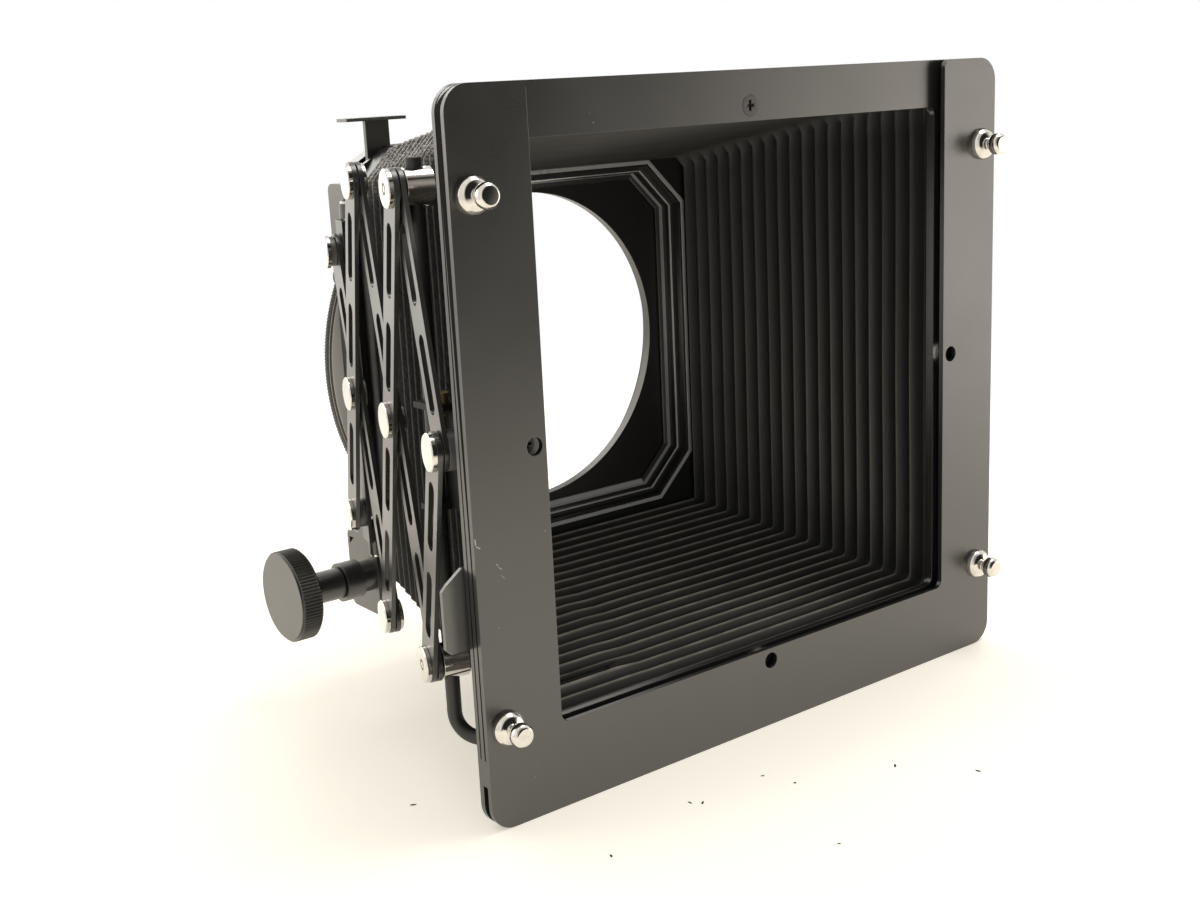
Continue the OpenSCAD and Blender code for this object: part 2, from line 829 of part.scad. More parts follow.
module rivet(at, z) {
    v0 = inner_arm_v - play - inner_head_t;
    inner_r = rivet_head_d / 2 - head_chamfer;
    color(bright_chrome) in_row(at) translate([0, 0, z]) outward(v0) rotate_extrude()
        polygon(concat([
            [0, 0], [inner_r - head_chamfer, 0], [inner_r, head_chamfer],
            [inner_r, inner_head_t], [rivet_d / 2, inner_head_t]
        ], head_points(v0)));
}

module rear_pivot() {
    rivet(rear_pivot_at, 0);
}

module middle_pivot() {
    rivet(middle_pivot_at, 0);
}

module top_rivet() {
    rivet(rivets_at, arm_rise);
}

module bottom_rivet() {
    rivet(rivets_at, -arm_rise);
}

// The inward reach of the front pivot post ends flush with the bracket's inner face
row_front_x = swivel_out + front_pivot_at * sin(row_angle);
front_post_in_v = -(row_front_x - bracket_in - play) / cos(row_angle);

module front_pivot() {
    v0 = front_post_in_v;
    collar = inner_arm_v - play;
    color(bright_chrome) in_row(front_pivot_at) outward(v0) rotate_extrude()
        polygon(concat([
            [0, 0], [front_post_d / 2, 0], [front_post_d / 2, collar - v0],
            [rivet_d / 2, collar - v0]
        ], head_points(v0)));
}

module front_pivot_boss() {
    color(deep_black) in_row(front_pivot_at) outward(boss_in_v)
        tube(inner_arm_v - play - boss_in_v, boss_d, front_post_d + 2 * fit);
}

module slide_post(z) {
    v0 = post_in_v;
    color(bright_chrome) in_row(slides_at) translate([0, 0, z]) difference() {
        outward(v0) rotate_extrude()
            polygon(concat([
                [0, 0], [post_d / 2 - head_chamfer, 0], [post_d / 2, head_chamfer],
                [post_d / 2, post_out_v - head_chamfer - v0],
                [post_d / 2 - head_chamfer, post_out_v - v0], [rivet_d / 2, post_out_v - v0]
            ], head_points(v0)));
        translate([0, 0, -post_d]) linear_extrude(2 * post_d) {
            square([post_bore_l - post_bore_w, post_bore_w], center = true);
            for (s = [-1, 1])
                translate([s * (post_bore_l - post_bore_w) / 2, 0]) circle(d = post_bore_w);
        }
        outward(head_v + head_t - dimple_depth)
            tube(dimple_depth + over, dimple_d, dimple_d / 2);
    }
}

module top_slide_post() {
    slide_post(arm_rise);
}

module bottom_slide_post() {
    slide_post(-arm_rise);
}

// The inner head of a swivel post lies behind the swivel guide
swivel_head_v = guide_v - play - guide_head_t;

module swivel_post(z) {
    v0 = swivel_head_v;
    color(bright_chrome) in_row(0) translate([0, 0, z]) outward(v0) rotate_extrude()
        polygon(concat([
            [0, 0], [guide_head_d / 2, 0], [guide_head_d / 2, guide_head_t],
            [rivet_d / 2, guide_head_t]
        ], head_points(v0)));
}

module top_swivel_post() {
    swivel_post(tail_rise);
}

module bottom_swivel_post() {
    swivel_post(-tail_rise);
}

// Each swivel post has a collar under the inner layer and a spacer in its empty layer
module swivel_spacers(z, spacer_v, spacer_l) {
    collar_v = guide_v + guide_t + play;
    color(deep_black) in_row(0) translate([0, 0, z]) {
        outward(collar_v)
            tube(inner_arm_v - play - collar_v, washer_d, tight_hole_d);
        outward(spacer_v) tube(spacer_l, washer_d, tight_hole_d);
    }
}

module top_swivel_spacers() {
    low = inner_arm_v + arm_t + play;
    swivel_spacers(tail_rise, low, head_v - play - low);
}

module bottom_swivel_spacers() {
    low = inner_arm_v;
    swivel_spacers(-tail_rise, low, outer_arm_v - play - low);
}

module washer(at, z) {
    color(deep_black) in_row(at) translate([0, 0, z])
        outward(inner_arm_v + arm_t + play) tube(washer_t, washer_d, tight_hole_d);
}

module rear_pivot_washer() {
    washer(rear_pivot_at, 0);
}

module middle_pivot_washer() {
    washer(middle_pivot_at, 0);
}

module front_pivot_washer() {
    washer(front_pivot_at, 0);
}

module top_rivet_washer() {
    washer(rivets_at, arm_rise);
}

module bottom_rivet_washer() {
    washer(rivets_at, -arm_rise);
}

module top_slide_washer() {
    washer(slides_at, arm_rise);
}

module bottom_slide_washer() {
    washer(slides_at, -arm_rise);
}

// A slotted leaf that turns on the two swivel pins and guides the swivel posts
guide_half_h = tail_rise + guide_over;

module swivel_guide() {
    color(deep_black) in_row(0) difference() {
        union() {
            translate([-guide_v - guide_t, -guide_front, -guide_half_h])
                cube([guide_t, guide_front + guide_rear, 2 * guide_half_h]);
            for (z = [-guide_half_h, guide_half_h - knuckle_h]) translate([0, 0, z]) {
                cylinder(h = knuckle_h, r = knuckle_r);
                translate([-guide_v - guide_t / 2, -knuckle_r, 0])
                    cube([guide_v + guide_t / 2, knuckle_r, knuckle_h]);
            }
        }
        for (end = [-1, 1]) {
            translate([0, 0, end * tail_rise]) outward(guide_v - over)
                linear_extrude(guide_t + 2 * over) {
                    square([guide_slot_l - guide_slot_w, guide_slot_w], center = true);
                    for (s = [-1, 1])
                        translate([s * (guide_slot_l - guide_slot_w) / 2, 0])
                            circle(d = guide_slot_w);
                }
            translate([0, 0, end * (guide_half_h - knuckle_h / 2) - knuckle_h / 2 - over])
                cylinder(h = knuckle_h + 2 * over, d = pin_d + 2 * fit);
        }
        translate([0, rear_travel - rear_pivot_at, 0]) outward(guide_v - over)
            cylinder(h = guide_t + 2 * over, d = rivet_head_d + 2 * gap);
    }
}

// The side plate's knuckles lie just past the ends of the swivel guide
ear_z = guide_half_h + gap;

module swivel_pins() {
    color(bright_chrome) for (end = [-1, 1])
        translate([-swivel_out, swivel_y, opening_z]) mirror([0, 0, end < 0 ? 1 : 0])
            translate([0, 0, guide_half_h - knuckle_h]) {
                cylinder(h = 2 * knuckle_h + gap + pin_head_h / 2, d = pin_d);
                translate([0, 0, 2 * knuckle_h + gap]) cylinder(h = pin_head_h, d = pin_head_d);
            }
}

module side_plate() {
    plate_x = -rear_w / 2 - side_plate_t;
    top_low = opening_z + ear_z;
    bottom_high = opening_z - ear_z;
    bottom_low = knob_z - bottom_ear_under;
    color(satin_black) difference() {
        union() {
            sidewise(plate_x, side_plate_t) difference() {
                union() {
                    rounded_span([-ear_front, top_low], [-side_back, top_low + top_ear_h],
                        ear_corner_r);
                    rounded_span([-bottom_ear_front, bottom_low],
                        [-bottom_ear_back, bottom_high], ear_corner_r);
                    translate([-side_front, bottom_low + ear_corner_r])
                        square([side_front - side_back, top_low - bottom_low]);
                }
                polygon([
                    [-bottom_ear_back / 2, bottom_high - ear_corner_r],
                    [-bottom_ear_back / 2, bottom_high - 2 * ear_corner_r],
                    [bottom_ear_back / 2, bottom_high - ear_corner_r]
                ]);
            }
            for (z = [top_low, bottom_high - knuckle_h])
                translate([-swivel_out, swivel_y, z]) cylinder(h = knuckle_h, r = knuckle_r);
        }
        for (z = [top_low, bottom_high - knuckle_h])
            translate([-swivel_out, swivel_y, z - over])
                cylinder(h = knuckle_h + 2 * over, d = pin_d + 2 * fit);
        for (z = [top_low + knuckle_h, bottom_high - knuckle_h - pin_head_h - gap])
            translate([-swivel_out, swivel_y, z])
                cylinder(h = pin_head_h + gap, d = pin_head_d + 2 * fit);
        for (z = [-side_screw_z, side_screw_z])
            pointing_left(plate_x + side_plate_t + over, side_screw_y, z)
                cylinder(h = side_plate_t + 2 * over, d = side_screw_d + 2 * fit);
        pointing_left(plate_x + side_plate_t + over, knob_y, knob_z)
            cylinder(h = side_plate_t + 2 * over, d = bush_spigot_d + 2 * fit);
    }
}

module side_plate_screws() {
    face_x = -rear_w / 2 - side_plate_t;
    color(deep_black) for (z = [-side_screw_z, side_screw_z])
        pointing_left(face_x, side_screw_y, z) difference() {
            union() {
                translate([0, 0, -side_screw_l])
                    cylinder(h = side_screw_l + side_screw_head_h / 2, d = side_screw_d);
                cylinder(h = side_screw_head_h, d = side_screw_head_d);
            }
            translate([-side_screw_head_d, -recess_w / 2, side_screw_head_h / 2])
                cube([2 * side_screw_head_d, recess_w, side_screw_head_h]);
        }
}

// Rear standard
rear_screw_places = [for (sx = [-1, 1], sz = [-1, 1]) [sx * rear_screw_x, sz * rear_screw_z]];

module rear_screw_holes(y0, t) {
    for (p = rear_screw_places)
        pointing_back(p[0], y0 - over, p[1])
            cylinder(h = t + 2 * over, d = rear_screw_d + 2 * fit);
}

module rear_clamp() {
    color(deep_black) upright(y_bellows_rear, rear_clamp_t) difference() {
        octagon(bellows_rear_half_w, bellows_rear_half_h, bellows_rear_cut, bellows_rear_cut);
        rear_window();
    }
}

module rear_collar() {
    color(deep_black) difference() {
        upright(y_collar_front, collar_t) difference() {
            octagon(bellows_rear_half_w - collar_inset, bellows_rear_half_h - collar_inset,
                bellows_rear_cut, bellows_rear_cut);
            rear_window();
        }
        rear_screw_holes(y_board_front - collar_t / 2 + over, collar_t / 2);
    }
}

module rear_board() {
    color(satin_black) difference() {
        upright(y_board_front, board_t) difference() {
            rear_outline();
            rear_window();
        }
        rear_screw_holes(y_board_front, board_t);
    }
}

module filter_rail() {
    color(satin_black) difference() {
        upright(y_rail_front, rail_t) difference() {
            rear_outline();
            translate([-channel_half, channel_bottom])
                square([2 * channel_half, rear_h]);
        }
        rear_screw_holes(y_rail_front, rail_t);
    }
}

module rear_wall() {
    pocket_front = y_wall_front - over;
    pocket_back = y_snap_front + snap_t + fit;
    color(satin_black) difference() {
        upright(y_wall_front, wall_t) rear_outline();
        pointing_back(0, pocket_front, 0) cylinder(h = wall_t + 2 * over, r = hub_r + fit, $fn = 120);
        pointing_back(0, pocket_front, 0)
            cylinder(h = pocket_back - pocket_front,
                r = hub_r - snap_groove + snap_w + snap_pocket_gap, $fn = 120);
        for (p = rear_screw_places)
            pointing_back(p[0], y_wall_back, p[1]) mirror([0, 0, 1])
                flat_screw_hole(wall_t, rear_screw_d, rear_screw_head_d, rear_screw_head_h);
        for (z = [-side_screw_z, side_screw_z])
            pointing_left(-rear_w / 2 + side_screw_l - side_plate_t + gap, side_screw_y, z)
                cylinder(h = side_screw_l + over, d = side_screw_d + 2 * fit);
    }
}

module rear_screws() {
    color(deep_black) for (p = rear_screw_places)
        pointing_back(p[0], y_wall_back, p[1]) mirror([0, 0, 1])
            flat_screw(rear_screw_l, rear_screw_d, rear_screw_head_d, rear_screw_head_h);
}

module filter_holder() {
    y0 = y_rail_front + gap;
    half = channel_half - gap;
    low = channel_bottom + gap;
    color(deep_black) {
        difference() {
            upright(y0, holder_t) rounded_span([-half, low], [half, holder_top], holder_corner_r);
            pointing_back(0, y0 - over, 0) cylinder(h = holder_t + 2 * over, r = window_r, $fn = 120);
        }
        upright(y0, strap_t) translate([strap_x - strap_w / 2, holder_top - strap_w])
            square([strap_w, strap_h + strap_w]);
    }
}

module filter_tab() {
    y0 = y_rail_front + gap - (tab_depth - strap_t) / 2;
    color(satin_black) translate([tab_x - tab_w / 2, y0, holder_top + strap_h])
        cube([tab_w, tab_depth, tab_t]);
}

module mount_ring() {
    groove_r = hub_r - snap_groove;
    groove_front = y_snap_front - fit;
    groove_back = y_snap_front + snap_t + fit;
    color(satin_black) pointing_back(0, 0, 0) rotate_extrude($fn = 120)
        polygon([
            [ring_bore_r, y_hub_front], [hub_r, y_hub_front], [hub_r, groove_front],
            [groove_r, groove_front], [groove_r, groove_back], [hub_r, groove_back],
            [hub_r, -ring_t], [ring_r - ring_chamfer, -ring_t], [ring_r, ring_chamfer - ring_t],
            [ring_r, -ring_chamfer], [ring_r - ring_chamfer, 0], [ring_bore_r, 0]
        ]);
}

module mount_snap_ring() {
    inner_r = hub_r - snap_groove + fit;
    color(bright_chrome) pointing_back(0, y_snap_front, 0)
        tube(snap_t, 2 * (inner_r + snap_w), 2 * inner_r, $fn = 120);
}

// Knob: straight teeth between two plain rims, on a stem
module knob() {
    outer_r = knob_d / 2;
    n = 2 * knob_teeth;
    color(deep_black) pointing_left(-knob_out + knob_t, knob_y, knob_z) difference() {
        union() {
            translate([0, 0, knob_rim]) linear_extrude(knob_t - 2 * knob_rim)
                polygon([for (i = [0:n - 1])
                    let (r = outer_r - (i % 2) * knob_tooth)
                    [r * cos(360 * i / n), r * sin(360 * i / n)]]);
            cylinder(h = knob_t, r = outer_r - knob_rim_drop);
            translate([0, 0, bush_out + knob_t - knob_out + gap])
                cylinder(h = knob_out - bush_out - knob_t, d = stem_d);
        }
        translate([0, 0, bush_out + knob_t - knob_out])
            cylinder(h = knob_out - bush_out - knob_t + shaft_socket, d = shaft_d + 2 * fit);
    }
}

module knob_shaft() {
    inner_end = -rear_w / 2 + nut_t + bush_spigot_l + gap;
    outer_end = -knob_out + knob_t - shaft_socket + gap;
    color(bright_chrome) pointing_left(inner_end, knob_y, knob_z)
        cylinder(h = inner_end - outer_end, d = shaft_d);
}

module knob_bush() {
    face_x = -rear_w / 2 - side_plate_t;
    neck_l = bush_out + face_x - bush_head_l;
    color(deep_black) pointing_left(face_x, knob_y, knob_z) difference() {
        union() {
            translate([0, 0, -side_plate_t - bush_spigot_l])
                cylinder(h = side_plate_t + bush_spigot_l + neck_l / 2, d = bush_spigot_d);
            cylinder(h = neck_l + bush_head_l / 2, d = bush_neck_d);
            translate([0, 0, neck_l]) cylinder(h = bush_head_l, d = bush_d);
        }
        translate([0, 0, -2 * side_plate_t - over])
            cylinder(h = bush_out, d = shaft_d + 2 * fit);
    }
}

module knob_nut() {
    color(bright_chrome)
        pointing_left(-rear_w / 2 + bush_spigot_l + gap + nut_t, knob_y, knob_z) difference() {
            cylinder(h = nut_t, d = nut_d, $fn = 6);
            translate([0, 0, -over]) cylinder(h = nut_t + 2 * over, d = shaft_d + 2 * fit);
        }
}

front_u_plate();
left_spacer();
right_spacer();
bottom_spacer();
front_frame_plate();
front_clamp();
front_clamp_screws();
mask_studs();
guide_rod();
pivot_bracket();
bracket_screw();
side_clip();
bellows();
rear_inner_arm();
rear_outer_arm();
middle_inner_arm();
middle_outer_arm();
front_inner_arm();
front_outer_arm();
rear_pivot();
middle_pivot();
front_pivot();
front_pivot_boss();
top_rivet();
bottom_rivet();
top_slide_post();
bottom_slide_post();
top_swivel_post();
bottom_swivel_post();
top_swivel_spacers();
bottom_swivel_spacers();
rear_pivot_washer();
middle_pivot_washer();
front_pivot_washer();
top_rivet_washer();
bottom_rivet_washer();
top_slide_washer();
bottom_slide_washer();
swivel_guide();
swivel_pins();
side_plate();
side_plate_screws();
rear_clamp();
rear_collar();
rear_board();
filter_rail();
rear_wall();
rear_screws();
filter_holder();
filter_tab();
mount_ring();
mount_snap_ring();
knob();
knob_shaft();
knob_bush();
knob_nut();
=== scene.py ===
import math
import random

import bmesh
import bpy
from mathutils import Matrix, Vector, noise


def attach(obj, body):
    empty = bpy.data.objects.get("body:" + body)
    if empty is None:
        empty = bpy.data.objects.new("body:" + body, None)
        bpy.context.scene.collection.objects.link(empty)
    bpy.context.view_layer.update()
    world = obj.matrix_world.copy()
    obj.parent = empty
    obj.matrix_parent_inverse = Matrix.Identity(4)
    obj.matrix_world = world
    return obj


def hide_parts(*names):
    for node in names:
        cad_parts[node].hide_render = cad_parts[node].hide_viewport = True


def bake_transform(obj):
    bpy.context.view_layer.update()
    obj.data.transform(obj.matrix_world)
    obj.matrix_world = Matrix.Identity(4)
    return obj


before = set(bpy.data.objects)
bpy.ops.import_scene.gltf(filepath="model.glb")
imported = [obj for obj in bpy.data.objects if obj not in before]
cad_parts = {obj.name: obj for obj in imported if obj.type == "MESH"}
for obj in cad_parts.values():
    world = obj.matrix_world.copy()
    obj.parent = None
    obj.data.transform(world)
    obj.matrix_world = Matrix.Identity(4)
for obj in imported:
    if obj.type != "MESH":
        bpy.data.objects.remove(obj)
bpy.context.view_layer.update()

MM = 0.001

# Places in the frame, in millimetres. The disc of the floor lies lower by the drop.
FLOOR_Z = -79.9
FLOOR_DROP = 0.02
OPENING_Z = -0.7
PLATE_FRONT_Y = -100.5
PLATE_HALF_W = 79.0
PLATE_TOP = 70.1
PLATE_CORNER_R = 5.5
BELLOWS_FRONT_Y = -94.8
BELLOWS_REAR_Y = -16.6

# Sockets of a Mix node that mixes colours
MIX_SHARE, MIX_A, MIX_B = 0, 6, 7
MIX_RESULT = 2

# The mask of edges, where paint is rubbed and on the filter tab a painted highlight lies,
# rises from 0 to 1 as the dot product of the rounded normal and the flat one falls from the
# first of these to the second
EDGE_FROM, EDGE_TO = 0.97, 0.75
BEVEL_SAMPLES = 6


# Node materials. A grain's scale is in cells to the metre; bumps and edges are in metres.
class Tree:
    """A tree of shader nodes, built up one node at a time."""

    def __init__(self, node_tree):
        self.nodes = node_tree.nodes
        self.links = node_tree.links

    def node(self, kind, inputs=None, **settings):
        """A new node with its settings, and with each given input set or linked."""
        made = self.nodes.new(kind)
        for key, value in settings.items():
            setattr(made, key, value)
        for key, value in (inputs or {}).items():
            self.feed(value, made.inputs[key])
        return made

    def feed(self, value, socket):
        """Link an output to the socket, or set the socket to a plain value."""
        if isinstance(value, bpy.types.NodeSocket):
            self.links.new(value, socket)
        else:
            socket.default_value = value

    def levels(self, value, low, high, to_low=0.0, to_high=1.0, kind="LINEAR"):
        return self.node("ShaderNodeMapRange", {
            "Value": value, "From Min": low, "From Max": high,
            "To Min": to_low, "To Max": to_high,
        }, interpolation_type=kind).outputs["Result"]

    def math(self, operation, a, b=0.0):
        return self.node("ShaderNodeMath", {0: a, 1: b}, operation=operation).outputs[0]

    def mix(self, share, a, b):
        made = self.node("ShaderNodeMix", {
            MIX_SHARE: share, MIX_A: a, MIX_B: b,
        }, data_type="RGBA")
        return made.outputs[MIX_RESULT]

    def mix_shaders(self, share, a, b):
        return self.node("ShaderNodeMixShader", {0: share, 1: a, 2: b}).outputs[0]


class Look(Tree):
    """A node material on the Principled shader, with plain values on its own sockets."""

    def __init__(self, name, sockets):
        self.material = bpy.data.materials.new(name)
        self.material.use_nodes = True
        super().__init__(self.material.node_tree)
        self.shader = self.nodes["Principled BSDF"]
        self.place = self.node("ShaderNodeTexCoord").outputs["Object"]
        for socket, value in sockets.items():
            self.shader.inputs[socket].default_value = value

    def stretched(self, scale):
        return self.node("ShaderNodeMapping", {
            "Vector": self.place, "Scale": scale,
        }).outputs["Vector"]

    def grain(self, scale, detail=2.0, rough=0.5, at=None):
        return self.node("ShaderNodeTexNoise", {
            "Vector": at or self.place, "Scale": scale, "Detail": detail, "Roughness": rough,
        }).outputs["Fac"]

    def cells(self, scale, feature="F1"):
        return self.node("ShaderNodeTexVoronoi", {
            "Vector": self.place, "Scale": scale,
        }, feature=feature).outputs["Distance"]

    def value(self, name):
        """A value held by the mesh's points."""
        return self.node("ShaderNodeAttribute", attribute_name=name).outputs["Fac"]

    def edges(self, radius):
        """The rounded normal, and a mask that is 0 on faces and up to 1 on edges."""
        soft = self.node("ShaderNodeBevel", {"Radius": radius}, samples=BEVEL_SAMPLES)
        flat = self.node("ShaderNodeNewGeometry").outputs["Normal"]
        dot = self.node("ShaderNodeVectorMath", {
            0: soft.outputs["Normal"], 1: flat,
        }, operation="DOT_PRODUCT")
        return soft.outputs["Normal"], self.levels(dot.outputs["Value"], EDGE_FROM, EDGE_TO)

    def bump(self, height, distance, strength=1.0, normal=None):
        inputs = {"Height": height, "Distance": distance, "Strength": strength}
        if normal:
            inputs["Normal"] = normal
        return self.node("ShaderNodeBump", inputs).outputs["Normal"]

    def set(self, **sockets):
        """Feed the shader's sockets, with _ for a blank in a socket's name."""
        for key, value in sockets.items():
            self.feed(value, self.shader.inputs[key.replace("_", " ")])


BLUE_FALL = 1.4


def grey(value, warm=0.0):
    """A grey, made warmer by a little more red and less blue."""
    return (value * (1 + warm), value, value * (1 - BLUE_FALL * warm), 1.0)


# Paler tone of rubbed edges; on the filter tab the same tone is a painted highlight
BARE_METAL_AND_HIGHLIGHT = grey(0.16, 0.05)
DUST_COLOUR = grey(0.35, 0.08)
PAINT_BUMP = 0.000012
PAINT_EDGE = 0.00022
FINE_EDGE = 0.00012


def painted(name, dark, light, rough, ior=1.8, wear_and_highlight=0.5, dust=0.0, grain_bump=PAINT_BUMP,
            edge=PAINT_EDGE):
    """Satin paint: fine orange peel, soft tone changes, edges rubbed a little, some dust; a large
    wear_and_highlight paints the edges pale as a painted highlight.
    """
    look = Look(name, {"IOR": ior, "Specular Tint": (1.0, 0.985, 0.95, 1.0)})
    soft, rubbed_and_sheen = look.edges(edge)
    tone = look.mix(look.grain(35.0, detail=4.0, rough=0.6), grey(dark), grey(light, 0.02))
    patchy = look.levels(look.grain(420.0, detail=3.0, rough=0.65), low=0.45, high=0.68)
    worn_and_highlit = look.math("MULTIPLY", rubbed_and_sheen, look.math("MULTIPLY", patchy, wear_and_highlight))
    tone = look.mix(worn_and_highlit, tone, BARE_METAL_AND_HIGHLIGHT)
    if dust:
        speck = look.levels(look.cells(330.0), low=0.045, high=0.03)
        where = look.levels(look.grain(90.0, detail=1.0, rough=0.4), low=0.62, high=0.64)
        dusty = look.math("MULTIPLY", look.math("MULTIPLY", speck, where), dust)
        tone = look.mix(dusty, tone, DUST_COLOUR)
    peel = look.grain(5200.0, rough=0.6)
    smear = look.grain(28.0, detail=5.0, rough=0.62)
    roughness = look.levels(smear, low=0.3, high=0.75,
                            to_low=rough - 0.035, to_high=rough + 0.045)
    look.set(Base_Color=tone, Roughness=roughness,
             Normal=look.bump(peel, grain_bump, strength=0.8, normal=soft))
    return look.material


SMEAR_SHADE = 0.86
SMEAR_ROUGH = 0.05
PLATING_BUMP = 0.000002


def plated(name, colour, rough):
    """Bright plating with faint smears and a fine polished grain."""
    look = Look(name, {"Metallic": 1.0})
    soft, _ = look.edges(FINE_EDGE)
    shade = tuple(SMEAR_SHADE * c for c in colour[:3]) + (1.0,)
    smeared = look.levels(look.grain(700.0, detail=4.0, rough=0.6), low=0.35, high=0.7)
    roughness = look.levels(look.grain(900.0, detail=4.0, rough=0.7), low=0.35, high=0.75,
                            to_low=rough, to_high=rough + SMEAR_ROUGH)
    polish = look.bump(look.grain(2600.0, detail=3.0), PLATING_BUMP, strength=0.5, normal=soft)
    look.set(Base_Color=look.mix(smeared, colour, shade), Roughness=roughness, Normal=polish)
    return look.material


PEBBLE_SCALE = 1050.0
PEBBLE_BUMP = 0.0001
FINE_GRAIN_SHARE = 0.25
RIDGE_SHARE = 0.8


def leatherette():
    """Pebbled covering cloth outside the pleats, with painted shade in the creases between
    pebbles and a painted highlight on the top, its upper corners and the ridges.
    """
    look = Look("leatherette", {"IOR": 1.4, "Sheen Weight": 0.1, "Sheen Roughness": 0.4})
    pebbles = look.cells(PEBBLE_SCALE)
    crease_shade = look.cells(PEBBLE_SCALE, "DISTANCE_TO_EDGE")
    lit = look.value("lit")
    ridge = look.levels(look.value("fold"), low=0.12, high=0.03)
    # Painted light: on the top and its upper corners, marked lit, the cloth and the ridge
    # highlight are paler
    cloth = look.mix(lit, grey(0.010, 0.05), grey(0.3, 0.06))
    rubbed_and_sheen = look.mix(lit, grey(0.15, 0.04), grey(0.46, 0.06))
    # Painted shade: the creases between the pebbles go near black
    tone = look.mix(look.levels(crease_shade, low=0.02, high=0.22), grey(0.006), cloth)
    # Painted highlight along the outer ridges
    tone = look.mix(look.math("MULTIPLY", ridge, RIDGE_SHARE), tone, rubbed_and_sheen)
    domes = look.levels(pebbles, low=0.0, high=0.75, to_low=1.0, to_high=0.0)
    fine = look.math("MULTIPLY", look.grain(3800.0, detail=3.0), FINE_GRAIN_SHARE)
    height = look.math("ADD", domes, fine)
    rough = look.levels(look.grain(60.0, detail=4.0), low=0.3, high=0.7,
                        to_low=0.38, to_high=0.5)
    look.set(Base_Color=tone, Roughness=rough,
             Normal=look.bump(height, PEBBLE_BUMP, strength=0.8))
    return look.material


LINING_BUMP = 0.00003


def lining():
    """Fine black cloth inside the pleats, with painted shade down in the folds' valleys and a
    patchy painted highlight along the inner ridges, paler on the bottom.
    """
    look = Look("bellows_lining", {"IOR": 1.5, "Sheen Weight": 0.1, "Sheen Roughness": 0.35})
    fold = look.value("fold")
    lit = look.value("lit")
    cloth = look.mix(look.grain(140.0, detail=4.0, rough=0.6), grey(0.03, 0.04),
                     grey(0.05, 0.12))
    # Painted shade: darker down in the valleys between the inner ridges
    tone = look.mix(look.levels(fold, low=0.5, high=0.95), grey(0.014), cloth)
    # Patchy painted highlight along the inner ridges, paler on the bottom side, which is marked
    # lit
    rubbed_and_sheen = look.levels(look.grain(160.0, detail=3.0, rough=0.6), low=0.3, high=0.7,
                         to_low=0.45, to_high=1.0)
    ridge = look.math("MULTIPLY", look.levels(fold, low=0.88, high=0.98), rubbed_and_sheen)
    tone = look.mix(ridge, tone, look.mix(lit, grey(0.1, 0.12), grey(0.3, 0.12)))
    threads = look.grain(2600.0, detail=3.0, rough=0.6, at=look.stretched((1.0, 1.0, 0.5)))
    rough = look.levels(look.grain(45.0, detail=4.0), low=0.3, high=0.7,
                        to_low=0.46, to_high=0.56)
    look.set(Base_Color=tone, Roughness=rough,
             Normal=look.bump(threads, LINING_BUMP, strength=0.8))
    return look.material


TURNED_EDGE = 0.0002
TURNED_BUMP = 0.000008
TURNED_RUB = 0.35


def turned(name, dark, light, ior):
    """Satin black metal faced on a lathe: fine rings round the Y axis."""
    look = Look(name, {
        "IOR": ior, "Anisotropic": 0.9, "Anisotropic Rotation": 0.25,
        "Specular Tint": (1.0, 0.97, 0.92, 1.0),
    })
    soft, rubbed_and_sheen = look.edges(TURNED_EDGE)
    split = look.node("ShaderNodeSeparateXYZ", {0: look.place}).outputs
    squares = [look.math("POWER", split[axis], 2.0) for axis in ("X", "Z")]
    around = look.math("SQRT", look.math("ADD", *squares))
    line = look.node("ShaderNodeCombineXYZ", {0: around}).outputs[0]
    rings = look.grain(5200.0, rough=0.7, at=line)
    tone = look.mix(rings, grey(dark, 0.03), grey(light, 0.05))
    tone = look.mix(look.math("MULTIPLY", rubbed_and_sheen, TURNED_RUB), tone, grey(0.2, 0.06))
    tangent = look.node("ShaderNodeTangent", direction_type="RADIAL", axis="Y").outputs[0]
    look.set(Base_Color=tone, Tangent=tangent,
             Roughness=look.levels(rings, low=0.3, high=0.7, to_low=0.5, to_high=0.62),
             Normal=look.bump(rings, TURNED_BUMP, strength=0.7, normal=soft))
    return look.material


LOOKS = {
    "satin_black": painted("satin_black", 0.008, 0.013, 0.3, ior=2.0, wear_and_highlight=0.2, dust=0.8,
                           edge=FINE_EDGE),
    "deep_black": painted("deep_black", 0.009, 0.014, 0.34, wear_and_highlight=0.3),
    "knob_black": painted("knob_black", 0.006, 0.010, 0.34, ior=2.2, wear_and_highlight=0.6,
                          grain_bump=0.00002),
    "black_plastic": painted("black_plastic", 0.085, 0.12, 0.38, wear_and_highlight=0.4),
    "chrome": plated("chrome", (0.76, 0.73, 0.68, 1.0), 0.08),
    "brass": plated("brass", (0.95, 0.74, 0.4, 1.0), 0.4),
    "leatherette": leatherette(),
}
LINING = lining()
TURNED = turned("turned_black", 0.03, 0.055, ior=1.9)
# Pale copy of the turned look: a painted highlight for the ring's forward faces, which catch the
# light
TURNED_HIGHLIGHT = turned("turned_painted_highlight", 0.6, 0.78, ior=2.6)
GROOVE = painted("groove", 0.004, 0.008, 0.8, ior=1.2, wear_and_highlight=0.0)
MATT = painted("matt_black", 0.006, 0.012, 0.6, ior=1.4, wear_and_highlight=0.25)
LIP = painted("lip_black", 0.02, 0.035, 0.3, wear_and_highlight=0.4)
# Pale copy of the lip's paint: a painted highlight on faces of the lip and bead that catch the
# light
LIP_HIGHLIGHT = painted("lip_painted_highlight", 0.44, 0.54, 0.3, wear_and_highlight=0.2)
DULL = painted("dull_black", 0.012, 0.02, 0.5, ior=1.6, wear_and_highlight=0.3)
CLIP = painted("clip_black", 0.07, 0.095, 0.32, ior=2.0, wear_and_highlight=0.6)
